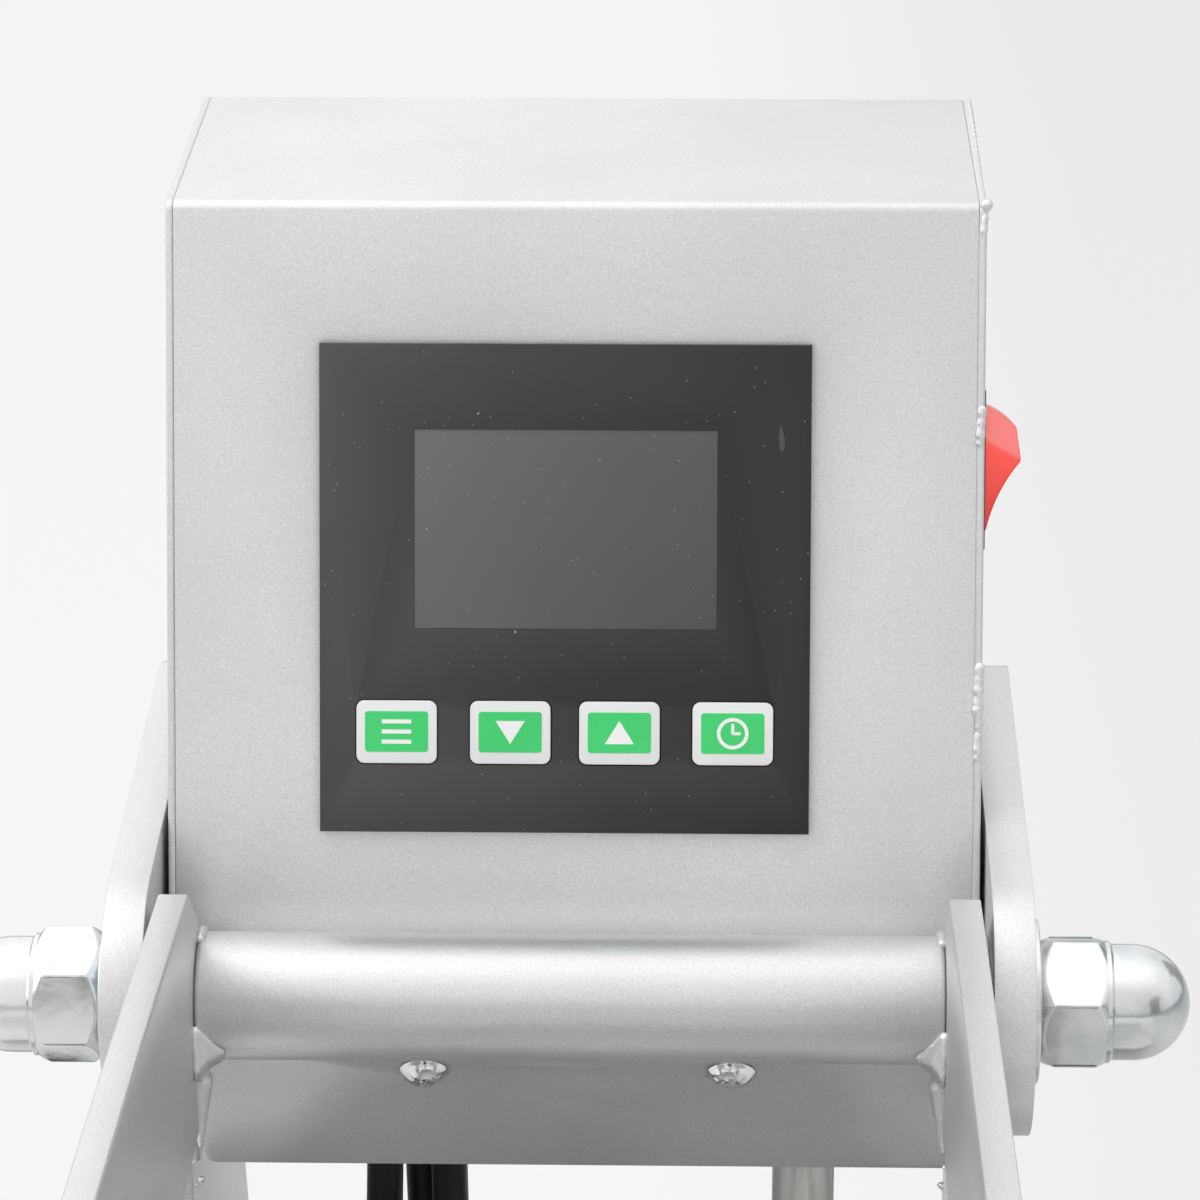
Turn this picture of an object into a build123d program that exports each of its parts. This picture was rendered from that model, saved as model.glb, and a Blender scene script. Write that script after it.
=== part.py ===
from build123d import *
import math
import os

# Flat heat press in millimetres: +X to the user's right, +Y away from the user, +Z up.
# The origin is on the table under the middle of the press. The press is modelled closed.

# Where the handle pivot lies, from which the head and the linkage are set out
pivot_y = 120.0
pivot_z = 260.0

# Fits and gaps
running_clearance = 0.06
side_clearance = 0.3
panel_gap = 0.25
bolt_hole_play = 0.1
bolt_end_over_nut = 3.0
match_tolerance = 0.01

# How far a cutting shape reaches past what it cuts, and a welded piece into its neighbour
cut_over = 1.0
join_overlap = 1.0

# Handle pivot: stud, tube, washers and dome nuts
stud_diameter = 16.0
tube_diameter = 25.0
tube_length = 145.0
arm_thickness = 6.0
inner_washer_thickness = 2.4
inner_washer_diameter = 26.0
washer_play = 0.1
ear_thickness = 8.0
outer_washer_thickness = 1.6
outer_washer_diameter = 32.0
nut_across_flats = 24.0
nut_hex_height = 13.8
nut_height = 29.6
nut_turn = 39.5
nut_chamfer_inset = 0.6
nut_chamfer_angle = 34.0
nut_dome_diameter = 22.6
stud_depth_in_nut = 20.0

# Handle arms, in steps from the pivot: forward is minus Y
handle_opening = 65.0
arm_heel_radius = 12.7
arm_end_radius = 26.0
arm_middle_forward = 104.0
arm_middle_rise = 5.0
arm_middle_radius = 29.0
arm_front_forward = 222.0
arm_front_rise = 23.4
arm_front_radius = 18.0

# Toggle links between the arms and the carrier
link_pin_forward = 76.0
link_pin_drop = 53.0
link_lobe_radius = 20.0
link_foot_forward = 105.0
link_foot_drop = 108.0
link_end_radius = 13.0
link_thickness = 6.0
link_pin_diameter = 12.0
link_pin_head_diameter = 18.0
link_pin_head_height = 6.0
link_nut_height = 8.0
link_washer_thickness = 1.4

# Handle bar
bar_diameter = 25.0
bar_wall = 2.0
bar_start_forward = 168.0
bar_start_rise = 17.0
bar_front_forward = 437.5
bar_front_rise = 44.0
bar_bend_radius = 32.0
grip_diameter = 35.0
grip_length = 114.0
grip_end_radius = 3.0
handle_bolt_diameter = 8.0
handle_bolt_forwards = (184.0, 212.0)
handle_bolt_head_height = 5.5
handle_bolt_across_flats = 13.0
handle_nut_height = 6.5
handle_bolt_end_over_nut = 1.5

# Side plates
ear_radius = 26.0
ear_rear_back = 94.0
ear_rear_rise = 18.5
ear_rear_radius = 14.0
neck_back = 78.0
neck_drop = 38.0
neck_radius = 26.0
waist_front_back = 75.0
waist_rear_back = 146.0
waist_drop = 150.0
waist_radius = 25.0
plate_foot_front_back = 45.0
plate_foot_rear_back = 182.0
plate_foot_height = 30.0
plate_foot_lift = 2.0

# Carrier, which swings on a shaft through the side plates
shaft_back = 70.0
shaft_drop = 106.0
shaft_diameter = 16.0
shaft_nut_height = 10.0
carrier_inner_x = 62.0
carrier_thickness = 8.0
carrier_hub_radius = 19.0
carrier_bar_radius = 16.0
carrier_straight_forward = 20.0
carrier_front_forward = 258.0
carrier_tube_diameter = 28.0
bush_wall = 6.0
foot_bush_radius = 10.0

# Platens and pad
platen_size = 380.0
platen_rear_forward = 32.0
press_plane_drop = 180.0
contact_gap = 0.3
heating_platen_thickness = 22.0
insulation_thickness = 12.0
insulation_margin = 6.0
cover_height_over_insulation = 14.0
cover_wall = 1.2
cover_side_gap = 0.8
cover_skirt_over_platen = 8.0
pad_thickness = 9.0
lower_platen_thickness = 14.0
post_diameter = 20.0
post_inset_y = 60.0
platen_corner_radius = 8.0
heater_diameter = 8.0
heater_margin = 45.0
heater_bend_radius = 24.0
heater_runs = 4
heater_depth = 1.0
cover_edge_radius = 4.0
cover_hole_play = 1.0

# Pressure spindle and its beam
beam_width = 30.0
beam_height = 30.0
beam_top_drop = 89.0
spindle_diameter = 18.0
spindle_top_rise = 20.0
spindle_foot_drop = 149.5
collar_diameter = 28.0
collar_height = 5.0
nut_plate_length = 110.0
nut_plate_width = 40.0
nut_plate_thickness = 6.0
nut_boss_diameter = 34.0
nut_boss_height = 16.0
nut_floor_thickness = 1.5
guide_pin_diameter = 10.0
guide_pin_spacing = 80.0
guide_pin_top_drop = 80.0
knob_diameter = 64.0
knob_height = 34.0
knob_bottom_rise = 6.0
knob_lobes = 8
knob_scallop_radius = 9.0
knob_scallop_outset = 5.6
knob_edge_radius = 2.5
cover_bolt_diameter = 6.0
cover_bolt_inset = 30.0
cover_bolt_head_height = 4.0
cover_bolt_across_flats = 10.0

# Base
rail_size = 30.0
rail_wall = 2.0
rail_front_forward = 405.0
rail_rear_back = 215.0
foot_height = 15.0
foot_diameter = 32.0
foot_inset = 20.0
foot_chamfer = 2.0
plate_bolt_diameter = 10.0
plate_bolt_backs = (66.0, 160.0)
plate_bolt_across_flats = 17.0
plate_bolt_head_height = 6.4
plate_nut_height = 8.0

# Control box
box_width = 160.0
sheet = 1.5
face_foot_back = 10.5
face_foot_drop = 14.0
face_height = 165.0
face_tilt = 14.9
box_top_depth = 80.5
fold_radius = 2.2
chin_length = 57.8
chin_lean = 38.0
chin_corner_radius = 2.5
cover_edge_gap = 1.4
cover_top_gap = 2.4
flange_length = 24.0
cover_screw_diameter = 5.0
cover_screw_head_diameter = 10.0
cover_screw_head_height = 3.2
cover_screw_spacing = 61.5
cover_screw_middle_x = 0.6
cover_screw_down = 14.0
cover_screw_length = 10.0

# Controller
controller_size = 96.0
controller_from_top = 27.4
controller_x = -1.8
bezel_thickness = 2.5
controller_body_size = 91.0
controller_body_depth = 66.0
cutout_play = 0.5
window_width = 59.3
window_height = 39.1
window_left = 18.5
window_top = 16.7
window_recess = 0.2
window_gap = 0.05
key_width = 15.8
key_height = 12.4
key_corner_radius = 1.6
key_top = 70.0
key_centres = (15.1, 37.4, 58.8, 81.0)
key_names = ("menu_key", "down_key", "up_key", "timer_key")
key_thickness = 1.9
key_proud = 0.3
relay_length = 58.0
relay_width = 45.0
relay_height = 28.0
relay_x = 30.0
relay_from_rear = 26.0

# Rocker switch in the right wall
rocker_down = 52.8
rocker_inset = 24.0
rocker_radius = 13.2
rocker_width = 12.5
rocker_pivot_depth = 3.0
rocker_ridge_height = 8.2
rocker_ridge_offset = 1.6
rocker_top_height = 6.4
rocker_dip_down = 6.0
rocker_dip_height = 3.4
rocker_low_height = 1.0
rocker_inner_depth = 4.0
switch_bezel_length = 32.0
switch_bezel_width = 17.5
switch_bezel_thickness = 1.0
switch_body_length = 29.0
switch_body_width = 15.0
switch_body_depth = 22.0
switch_body_recess = 9.5

# Lift strut
strut_foot_back = 150.0
strut_foot_drop = 225.0
strut_head_forward = -7.0
strut_head_drop = 108.0
strut_cylinder_diameter = 22.0
strut_cylinder_start = 15.0
strut_neck_diameter = 12.0
strut_cylinder_end = 122.0
strut_cylinder_bore_start = 40.0
strut_rod_diameter = 10.0
strut_rod_start = 50.0
strut_eye_radius = 10.0
strut_head_eye_radius = 11.5
strut_eye_overlap = 2.0
strut_eye_width = 14.0
strut_pin_diameter = 10.0
strut_head_play = 2.0
strut_cross_pin_diameter = 12.0
bracket_cheek_thickness = 4.0
bracket_height = 26.0

# Cables under the box
lead_diameter = 8.0
sleeve_diameter = 13.5
gland_back = 100.0
mains_x = -43.9
earth_x = -36.3
earth_step_back = 8.0
heater_x = -30.1
sleeve_x = 47.5
gland_wall = 4.0
gland_height = 6.0
sleeve_gland_diameter = 20.0
gland_corner_radius = 7.5
lead_entry_drop = 13.0

# The largest share of a cable's shorter run that a bend takes up
lead_bend_share = 0.45

# Mains lead on the table
table_gap = 0.3
coil_behind_rails = 21.0
coil_left_of_gland = 76.0
coil_samples = 400
coil_pitch = 8.6
coil_start_radius = 56.0
coil_half_turns_in = 5
coil_end_straight = 44.0
plug_relief_length = 16.0
plug_relief_wall = 0.6
plug_relief_end_radius = 8.3
plug_edge_radius = 6.0
plug_length = 40.0
plug_width = 26.0
plug_pin_diameter = 4.8
plug_pin_length = 19.0
plug_pin_spacing = 19.0

# Places across the press that follow from the sizes above
arm_inner_x = tube_length / 2
arm_outer_x = arm_inner_x + arm_thickness
ear_inner_x = arm_outer_x + washer_play + inner_washer_thickness
ear_outer_x = ear_inner_x + ear_thickness
nut_start_x = ear_outer_x + outer_washer_thickness
nut_end_x = nut_start_x + nut_height
bar_leg_x = arm_outer_x + bar_diameter / 2
link_inner_x = arm_outer_x + link_washer_thickness + washer_play
link_outer_x = link_inner_x + link_thickness
carrier_outer_x = carrier_inner_x + carrier_thickness
rail_x = ear_outer_x + rail_size / 2
wall_outer_x = box_width / 2
wall_inner_x = wall_outer_x - sheet


def spot(forward, rise):
    """A place in the side view, from steps forward of and above the handle pivot."""
    return (pivot_y - forward, pivot_z + rise)


pivot = spot(0, 0)
link_pin = spot(link_pin_forward, -link_pin_drop)
link_foot = spot(link_foot_forward, -link_foot_drop)
shaft = spot(-shaft_back, -shaft_drop)
strut_foot = spot(-strut_foot_back, -strut_foot_drop)
strut_head = spot(strut_head_forward, -strut_head_drop)
rail_bottom = foot_height
rail_top = rail_bottom + rail_size
platen_bottom = pivot_z - press_plane_drop + contact_gap
platen_top = platen_bottom + heating_platen_thickness
insulation_top = platen_top + insulation_thickness
platen_cover_top = insulation_top + cover_height_over_insulation
pad_top = pivot_z - press_plane_drop
lower_platen_top = pad_top - pad_thickness
lower_platen_bottom = lower_platen_top - lower_platen_thickness
platen_middle_y = pivot_y - platen_rear_forward - platen_size / 2
cover_bolt_spacing = platen_size - 2 * cover_bolt_inset
beam_top = pivot_z - beam_top_drop
beam_bottom = beam_top - beam_height
chin_angle = math.radians(chin_lean)
tilt = math.radians(face_tilt)


def disc(place, radius):
    """A round outline in the side view."""
    return Pos(place[0], place[1]) * Circle(radius)


def around(*discs):
    """The outline of a belt drawn tight around discs in the side view."""
    edges = ShapeList()
    for one in discs:
        edges += one.edges()
    return make_hull(edges)


def cut_plate(outline, low_x, high_x):
    """A flat plate with a side-view outline, between two places across the press."""
    return extrude(Plane.YZ.offset(low_x) * outline, amount=high_x - low_x, dir=(1, 0, 0))


def cross_rod(place, diameter, low_x, high_x):
    """A round bar that runs across the press."""
    rod = Pos((low_x + high_x) / 2, place[0], place[1]) * Rot(0, 90, 0)
    return rod * Cylinder(diameter / 2, high_x - low_x)


def cross_ring(place, outer, bore, low_x, high_x):
    """A washer, bush or tube that runs across the press."""
    return cross_rod(place, outer, low_x, high_x) - cross_rod(
        place, bore, low_x - cut_over, high_x + cut_over)


def cross_hex(place, across_flats, low_x, high_x, turn=0.0):
    """A hexagon head or nut whose axis runs across the press."""
    flat = Plane.YZ.offset(low_x) * Pos(place[0], place[1]) * RegularPolygon(
        across_flats / 2, 6, major_radius=False, rotation=turn)
    return extrude(flat, amount=high_x - low_x)


def block(low, high):
    """A rectangular block between two corners."""
    size = [high[i] - low[i] for i in range(3)]
    middle = [(high[i] + low[i]) / 2 for i in range(3)]
    return Pos(*middle) * Box(*size)


def upright_rod(x, y, diameter, low_z, high_z):
    """A round bar that stands upright."""
    return Pos(x, y, (low_z + high_z) / 2) * Cylinder(diameter / 2, high_z - low_z)


def both_sides(piece):
    """A piece on the right and its mirror image on the left."""
    return [piece, mirror(piece, about=Plane.YZ)]


def folded_sheet(points, thickness):
    """The section of a sheet folded along points, thickened to the right of the way they run."""
    normals = []
    for start, end in zip(points[:-1], points[1:]):
        run = (end[0] - start[0], end[1] - start[1])
        length = math.hypot(*run)
        normals.append((run[1] / length, -run[0] / length))
    inner = []
    for index, point in enumerate(points):
        first = normals[max(index - 1, 0)]
        second = normals[min(index, len(normals) - 1)]
        scale = thickness / (1 + first[0] * second[0] + first[1] * second[1])
        inner.append((point[0] + (first[0] + second[0]) * scale,
                      point[1] + (first[1] + second[1]) * scale))
    return Polygon(*points, *reversed(inner), align=None)


# Side-view places of the control box
face_foot = spot(-face_foot_back, -face_foot_drop)
face_top = (face_foot[0] + face_height * math.sin(tilt), face_foot[1] + face_height * math.cos(tilt))
box_rear_top = (face_top[0] + box_top_depth, face_top[1])
chin_foot = (face_foot[0] + chin_length * math.sin(chin_angle),
             face_foot[1] - chin_length * math.cos(chin_angle))
box_rear_bottom = (box_rear_top[0], chin_foot[1])
face_plane = Plane(origin=(0, face_top[0], face_top[1]), x_dir=(1, 0, 0),
                   z_dir=(0, -math.cos(tilt), math.sin(tilt)))
chin_plane = Plane(origin=(0, face_foot[0], face_foot[1]), x_dir=(1, 0, 0),
                   z_dir=(0, -math.cos(chin_angle), -math.sin(chin_angle)))


def on_chin(down, inward=0.0):
    """A side-view place on the chin, down its slope from the fold and inward from its surface."""
    return (face_foot[0] + down * math.sin(chin_angle) + inward * math.cos(chin_angle),
            face_foot[1] - down * math.cos(chin_angle) + inward * math.sin(chin_angle))


def make_base():
    """Base rails, crossbars, feet, posts, lower platen and pad."""
    front_y = pivot_y - rail_front_forward
    rear_y = pivot_y + rail_rear_back
    inner = rail_size - 2 * rail_wall

    rail_low = (rail_x - rail_size / 2, front_y, rail_bottom)
    rail_high = (rail_x + rail_size / 2, rear_y, rail_top)
    rail = block(rail_low, rail_high)
    middle_z = (rail_bottom + rail_top) / 2
    rail -= Pos(rail_x, (front_y + rear_y) / 2, middle_z) * Box(
        inner, rear_y - front_y + 2 * cut_over, inner)
    for back in plate_bolt_backs:
        rail -= cross_rod((pivot_y + back, middle_z), plate_bolt_diameter + 2 * bolt_hole_play,
                          rail_low[0] - cut_over, rail_high[0] + cut_over)

    bars = []
    for low_y in (front_y, rear_y - rail_size):
        bar = block((-ear_outer_x, low_y, rail_bottom), (ear_outer_x, low_y + rail_size, rail_top))
        bar -= Pos(0, low_y + rail_size / 2, middle_z) * Box(
            2 * (ear_outer_x + cut_over), inner, inner)
        bars.append(bar)

    feet = []
    for y in (front_y + foot_inset, rear_y - foot_inset):
        foot = upright_rod(rail_x, y, foot_diameter, 0, foot_height)
        foot = chamfer(foot.edges().group_by(Axis.Z)[0], foot_chamfer)
        feet += both_sides(foot)

    bolts = []
    nut_x = rail_high[0]
    for back in plate_bolt_backs:
        place = (pivot_y + back, middle_z)
        bolt = cross_rod(place, plate_bolt_diameter, ear_inner_x,
                         nut_x + plate_nut_height + bolt_end_over_nut)
        bolt += cross_hex(place, plate_bolt_across_flats, ear_inner_x - plate_bolt_head_height, ear_inner_x)
        bolt += cross_hex(place, plate_bolt_across_flats, nut_x, nut_x + plate_nut_height)
        bolts += both_sides(bolt)

    posts = []
    for offset in (-platen_size / 2 + post_inset_y, platen_size / 2 - post_inset_y):
        posts += both_sides(upright_rod(rail_x, platen_middle_y + offset, post_diameter,
                                        rail_top, lower_platen_bottom))

    square = RectangleRounded(platen_size, platen_size, platen_corner_radius)
    bed = extrude(Pos(0, platen_middle_y, lower_platen_bottom) * square, amount=lower_platen_thickness)
    pad = extrude(Pos(0, platen_middle_y, lower_platen_top) * square, amount=pad_thickness)
    return {"base_rails": both_sides(rail), "base_crossbars": bars, "rubber_feet": feet,
            "side_plate_bolts": bolts, "platen_posts": posts, "lower_platen": [bed],
            "silicone_pad": [pad]}


def make_side_plates():
    """The two plates that carry the box, the handle pivot and the carrier shaft."""
    ear = disc(pivot, ear_radius)
    ear_rear = disc(spot(-ear_rear_back, ear_rear_rise), ear_rear_radius)
    neck = disc(spot(-neck_back, -neck_drop), neck_radius)
    waist_front = disc(spot(-waist_front_back, -waist_drop), waist_radius)
    waist_rear = disc(spot(-waist_rear_back, -waist_drop), waist_radius)
    foot_low = rail_bottom + plate_foot_lift
    foot_middle = pivot_y + (plate_foot_front_back + plate_foot_rear_back) / 2
    foot = Pos(foot_middle, foot_low + plate_foot_height / 2) * Rectangle(
        plate_foot_rear_back - plate_foot_front_back, plate_foot_height)
    outline = around(ear, ear_rear, neck)
    outline += around(neck, ear_rear, waist_front, waist_rear)
    outline += around(waist_front, waist_rear, foot)
    outline -= disc(pivot, stud_diameter / 2)
    outline -= disc(shaft, shaft_diameter / 2)
    for back in plate_bolt_backs:
        outline -= disc((pivot_y + back, (rail_bottom + rail_top) / 2),
                        plate_bolt_diameter / 2 + bolt_hole_play)
    right = cut_plate(outline, ear_inner_x, ear_outer_x)
    return {"side_plate_right": [right], "side_plate_left": [mirror(right, about=Plane.YZ)]}


def make_box():
    """The folded control box, its walls, bottom cover, screws and glands."""
    step = sheet / math.sin(tilt + chin_angle)
    fold = (face_foot[0] + step * math.sin(tilt), face_foot[1] + step * math.cos(tilt))
    flange_end = on_chin(flange_length, sheet)
    section = folded_sheet([flange_end, fold, face_top, box_rear_top, box_rear_bottom], sheet)
    shell = cut_plate(section, -wall_inner_x, wall_inner_x)
    top_folds = [edge for edge in shell.edges() if abs(edge.length - 2 * wall_inner_x) < match_tolerance
                 and abs(edge.center().Z - face_top[1]) < match_tolerance]
    shell = fillet(top_folds, fold_radius)
    hole = controller_body_size + 2 * cutout_play
    middle = -(controller_from_top + controller_size / 2)
    shell -= face_plane * Pos(controller_x, middle, 0) * Box(hole, hole, 4 * sheet)

    wall_outline = Polygon(face_foot, face_top, box_rear_top, box_rear_bottom, chin_foot, align=None)
    corners = [v for v in wall_outline.vertices()
               if abs(v.Y - chin_foot[1]) < match_tolerance and abs(v.X - chin_foot[0]) < match_tolerance]
    wall_outline = fillet(corners, chin_corner_radius)
    top_corner = [v for v in wall_outline.vertices()
                  if abs(v.Y - face_top[1]) < match_tolerance]
    wall_outline = fillet(top_corner, fold_radius)
    wall = cut_plate(wall_outline, wall_inner_x, wall_outer_x)
    right_wall = wall - place_rocker() * Box(
        switch_body_length + 2 * panel_gap, switch_body_width + 2 * panel_gap, 4 * sheet)

    cover_half = wall_inner_x - cover_edge_gap
    chin_middle = -(cover_top_gap + chin_length) / 2
    chin = chin_plane * Pos(0, chin_middle, -sheet / 2) * Box(
        2 * cover_half, chin_length - cover_top_gap, sheet)
    low_corners = [edge for edge in chin.edges() if abs(edge.length - sheet) < match_tolerance
                   and edge.center().Z < chin_foot[1] + chin_corner_radius / 2]
    chin = fillet(low_corners, chin_corner_radius)
    floor_half = cover_half - chin_corner_radius
    floor_front = on_chin(chin_length, sheet)[0] - join_overlap
    floor = block((-floor_half, floor_front, chin_foot[1]),
                  (floor_half, box_rear_bottom[0] - sheet, chin_foot[1] + sheet))
    cover = chin + floor

    screws = []
    for side in (-1, 1):
        seat = chin_plane * Pos(cover_screw_middle_x + side * cover_screw_spacing / 2,
                                -cover_screw_down, 0)
        shank = seat * Pos(0, 0, -cover_screw_length / 2) * Cylinder(
            cover_screw_diameter / 2, cover_screw_length)
        crown = cover_screw_head_diameter ** 2 / (8 * cover_screw_head_height) + cover_screw_head_height / 2
        head = seat * Pos(0, 0, cover_screw_head_height - crown) * Sphere(crown)
        head &= seat * Pos(0, 0, cover_screw_head_height / 2) * Cylinder(
            cover_screw_head_diameter / 2, cover_screw_head_height)
        cover -= seat * Cylinder(cover_screw_diameter / 2, 2 * cover_screw_length)
        shell -= seat * Cylinder(cover_screw_diameter / 2, 2 * cover_screw_length)
        screws.append(shank + head)

    cover_low = chin_foot[1]
    gland_y = pivot_y + gland_back
    cable_gland = RectangleRounded(heater_x - mains_x + lead_diameter + 2 * gland_wall,
                                   earth_step_back + lead_diameter + 2 * gland_wall,
                                   gland_corner_radius)
    gland_seat = Pos((heater_x + mains_x) / 2, gland_y + earth_step_back / 2, cover_low - gland_height)
    glands = [extrude(gland_seat * cable_gland, amount=gland_height),
              upright_rod(sleeve_x, gland_y, sleeve_gland_diameter, cover_low - gland_height, cover_low)]
    return {"box_shell": [shell], "box_side_walls": [right_wall, mirror(wall, about=Plane.YZ)],
            "box_bottom_cover": [cover], "cover_screws": screws, "cable_glands": glands}


def place_rocker():
    """The rocker's own frame on the right wall: X up the slope, Z out of the wall."""
    face_direction = (math.sin(tilt), math.cos(tilt))
    inward = (math.cos(tilt), -math.sin(tilt))
    y = face_top[0] - rocker_down * face_direction[0] + rocker_inset * inward[0]
    z = face_top[1] - rocker_down * face_direction[1] + rocker_inset * inward[1]
    return Plane(origin=(wall_outer_x, y, z),
                 x_dir=(0, face_direction[0], face_direction[1]), z_dir=(1, 0, 0))


def make_switch():
    """The rocker and the switch body that holds it."""
    frame = place_rocker()
    bezel = frame * Pos(0, 0, switch_bezel_thickness / 2) * Box(
        switch_bezel_length, switch_bezel_width, switch_bezel_thickness)
    depth = switch_body_depth
    body = frame * Pos(0, 0, -depth / 2) * Box(switch_body_length, switch_body_width, depth)
    cavity = frame * Pos(0, 0, -switch_body_recess / 2) * Box(
        2 * (rocker_radius + panel_gap), rocker_width + 2 * panel_gap,
        switch_body_recess + 2 * (switch_bezel_thickness + cut_over))
    switch = (bezel + body) - cavity
    reach = rocker_radius + cut_over
    inner = -rocker_inner_depth
    ridge = (rocker_ridge_offset, rocker_ridge_height)
    lower_dip = (-rocker_dip_down, rocker_dip_height)
    line = [Line((-reach, inner), (-reach, rocker_low_height)),
            ThreePointArc((-reach, rocker_low_height), lower_dip, ridge),
            Line(ridge, (reach, rocker_top_height)),
            Line((reach, rocker_top_height), (reach, inner)),
            Line((reach, inner), (-reach, inner))]
    profile = make_face(Curve() + line)
    profile &= Pos(0, -rocker_pivot_depth) * Circle(rocker_radius)
    flat = Plane(origin=frame.origin, x_dir=frame.x_dir, z_dir=-frame.y_dir)
    rocker = extrude(flat * profile, amount=rocker_width / 2, both=True)
    return {"rocker_bezel": [switch], "rocker": [rocker]}


def make_controller():
    """Controller front, window, keys, body and the power relay."""
    left = controller_x - controller_size / 2
    top = -controller_from_top
    middle_y = top - controller_size / 2
    bezel = face_plane * Pos(controller_x, middle_y, bezel_thickness / 2) * Box(
        controller_size, controller_size, bezel_thickness)
    window_x = left + window_left + window_width / 2
    window_y = top - window_top - window_height / 2
    window_hole = Box(window_width, window_height, 3 * bezel_thickness)
    bezel -= face_plane * Pos(window_x, window_y, 0) * window_hole
    window_depth = bezel_thickness - window_recess
    window = face_plane * Pos(window_x, window_y, window_depth / 2) * Box(
        window_width - 2 * window_gap, window_height - 2 * window_gap, window_depth)

    result = {}
    key_y = top - key_top - key_height / 2
    for name, centre in zip(key_names, key_centres):
        seat = face_plane * Pos(left + centre, key_y, 0)
        hole = RectangleRounded(key_width + 2 * panel_gap, key_height + 2 * panel_gap,
                                key_corner_radius + panel_gap)
        bezel -= extrude(seat * hole, amount=3 * bezel_thickness)
        bottom = bezel_thickness + key_proud - key_thickness
        cap = RectangleRounded(key_width, key_height, key_corner_radius)
        result[name] = [extrude(seat * Pos(0, 0, bottom) * cap, amount=key_thickness)]

    body = face_plane * Pos(controller_x, middle_y, -controller_body_depth / 2) * Box(
        controller_body_size, controller_body_size, controller_body_depth)
    relay_low_z = chin_foot[1] + sheet
    relay_rear = box_rear_bottom[0] - relay_from_rear
    relay = block((relay_x - relay_width / 2, relay_rear - relay_length, relay_low_z),
                  (relay_x + relay_width / 2, relay_rear, relay_low_z + relay_height))
    result.update({"controller_front": [bezel], "display_window": [window],
                   "controller_body": [body], "power_relay": [relay]})
    return result


def dome_nut():
    """A dome nut on the right end of the stud."""
    hexagon = cross_hex(pivot, nut_across_flats, nut_start_x, nut_start_x + nut_hex_height, nut_turn)
    corner = nut_across_flats / math.sqrt(3)
    bevel = nut_across_flats / 2 - nut_chamfer_inset
    drop = (corner - bevel) * math.tan(math.radians(nut_chamfer_angle))
    outline = Polyline((nut_start_x, 0), (nut_start_x, bevel),
                       (nut_start_x + drop, corner + match_tolerance),
                       (nut_start_x + nut_hex_height - drop, corner + match_tolerance),
                       (nut_start_x + nut_hex_height, bevel), (nut_start_x + nut_hex_height, 0),
                       (nut_start_x, 0))
    limit = revolve(make_face(outline), axis=Axis.X)
    hexagon &= Pos(0, pivot[0], pivot[1]) * limit
    radius = nut_dome_diameter / 2
    neck_end = nut_end_x - radius
    dome = cross_rod(pivot, nut_dome_diameter, nut_start_x + nut_hex_height - join_overlap, neck_end)
    dome += Pos(neck_end, pivot[0], pivot[1]) * Sphere(radius)
    nut = hexagon + dome
    return nut - cross_rod(pivot, stud_diameter, nut_start_x - cut_over, nut_start_x + stud_depth_in_nut)


def make_pivots():
    """The fixed stud, washers and nuts of the handle pivot, and the carrier shaft with its nuts."""
    stud_end = nut_start_x + stud_depth_in_nut
    stud = cross_rod(pivot, stud_diameter, -stud_end, stud_end)
    washers = []
    washers += both_sides(cross_ring(pivot, outer_washer_diameter, stud_diameter, ear_outer_x, nut_start_x))
    washers += both_sides(cross_ring(pivot, inner_washer_diameter, stud_diameter,
                                     ear_inner_x - inner_washer_thickness, ear_inner_x))
    shaft_end = ear_outer_x + shaft_nut_height + bolt_end_over_nut
    rod = cross_rod(shaft, shaft_diameter, -shaft_end, shaft_end)
    nut = cross_hex(shaft, nut_across_flats, ear_outer_x, ear_outer_x + shaft_nut_height)
    nut -= cross_rod(shaft, shaft_diameter, ear_outer_x - cut_over, shaft_end + cut_over)
    return {"pivot_stud": [stud], "dome_nuts": both_sides(dome_nut()), "pivot_washers": washers,
            "carrier_shaft": [rod], "shaft_nuts": both_sides(nut)}


def leg_place(forward):
    """A side-view place on the centre line of the handle bar's legs."""
    slope = (bar_front_rise - bar_start_rise) / (bar_front_forward - bar_start_forward)
    return spot(forward, bar_start_rise + slope * (forward - bar_start_forward))


def clear_of_box():
    """The side-view space that an arm can fill and still swing up in front of the box."""
    far = 600.0
    swing = math.radians(handle_opening)
    half_turn = swing / 2
    corner_reach = arm_heel_radius / math.cos(half_turn)
    toward = tilt + half_turn
    corner = (pivot[0] + corner_reach * math.cos(toward - 2 * tilt),
              pivot[1] + corner_reach * math.sin(toward - 2 * tilt))
    down = (-math.sin(tilt), -math.cos(tilt))
    rise = (-math.cos(math.pi / 2 - swing + tilt), math.sin(math.pi / 2 - swing + tilt))
    low = (corner[0] + far * down[0], corner[1] + far * down[1])
    high = (corner[0] + far * rise[0], corner[1] + far * rise[1])
    space = Polygon(corner, high, (pivot[0] - 2 * far, high[1]), (pivot[0] - 2 * far, low[1]), low,
                    align=None)
    heel = [v for v in space.vertices() if abs(v.X - corner[0]) + abs(v.Y - corner[1]) < match_tolerance]
    return fillet(heel, arm_heel_radius)


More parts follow.
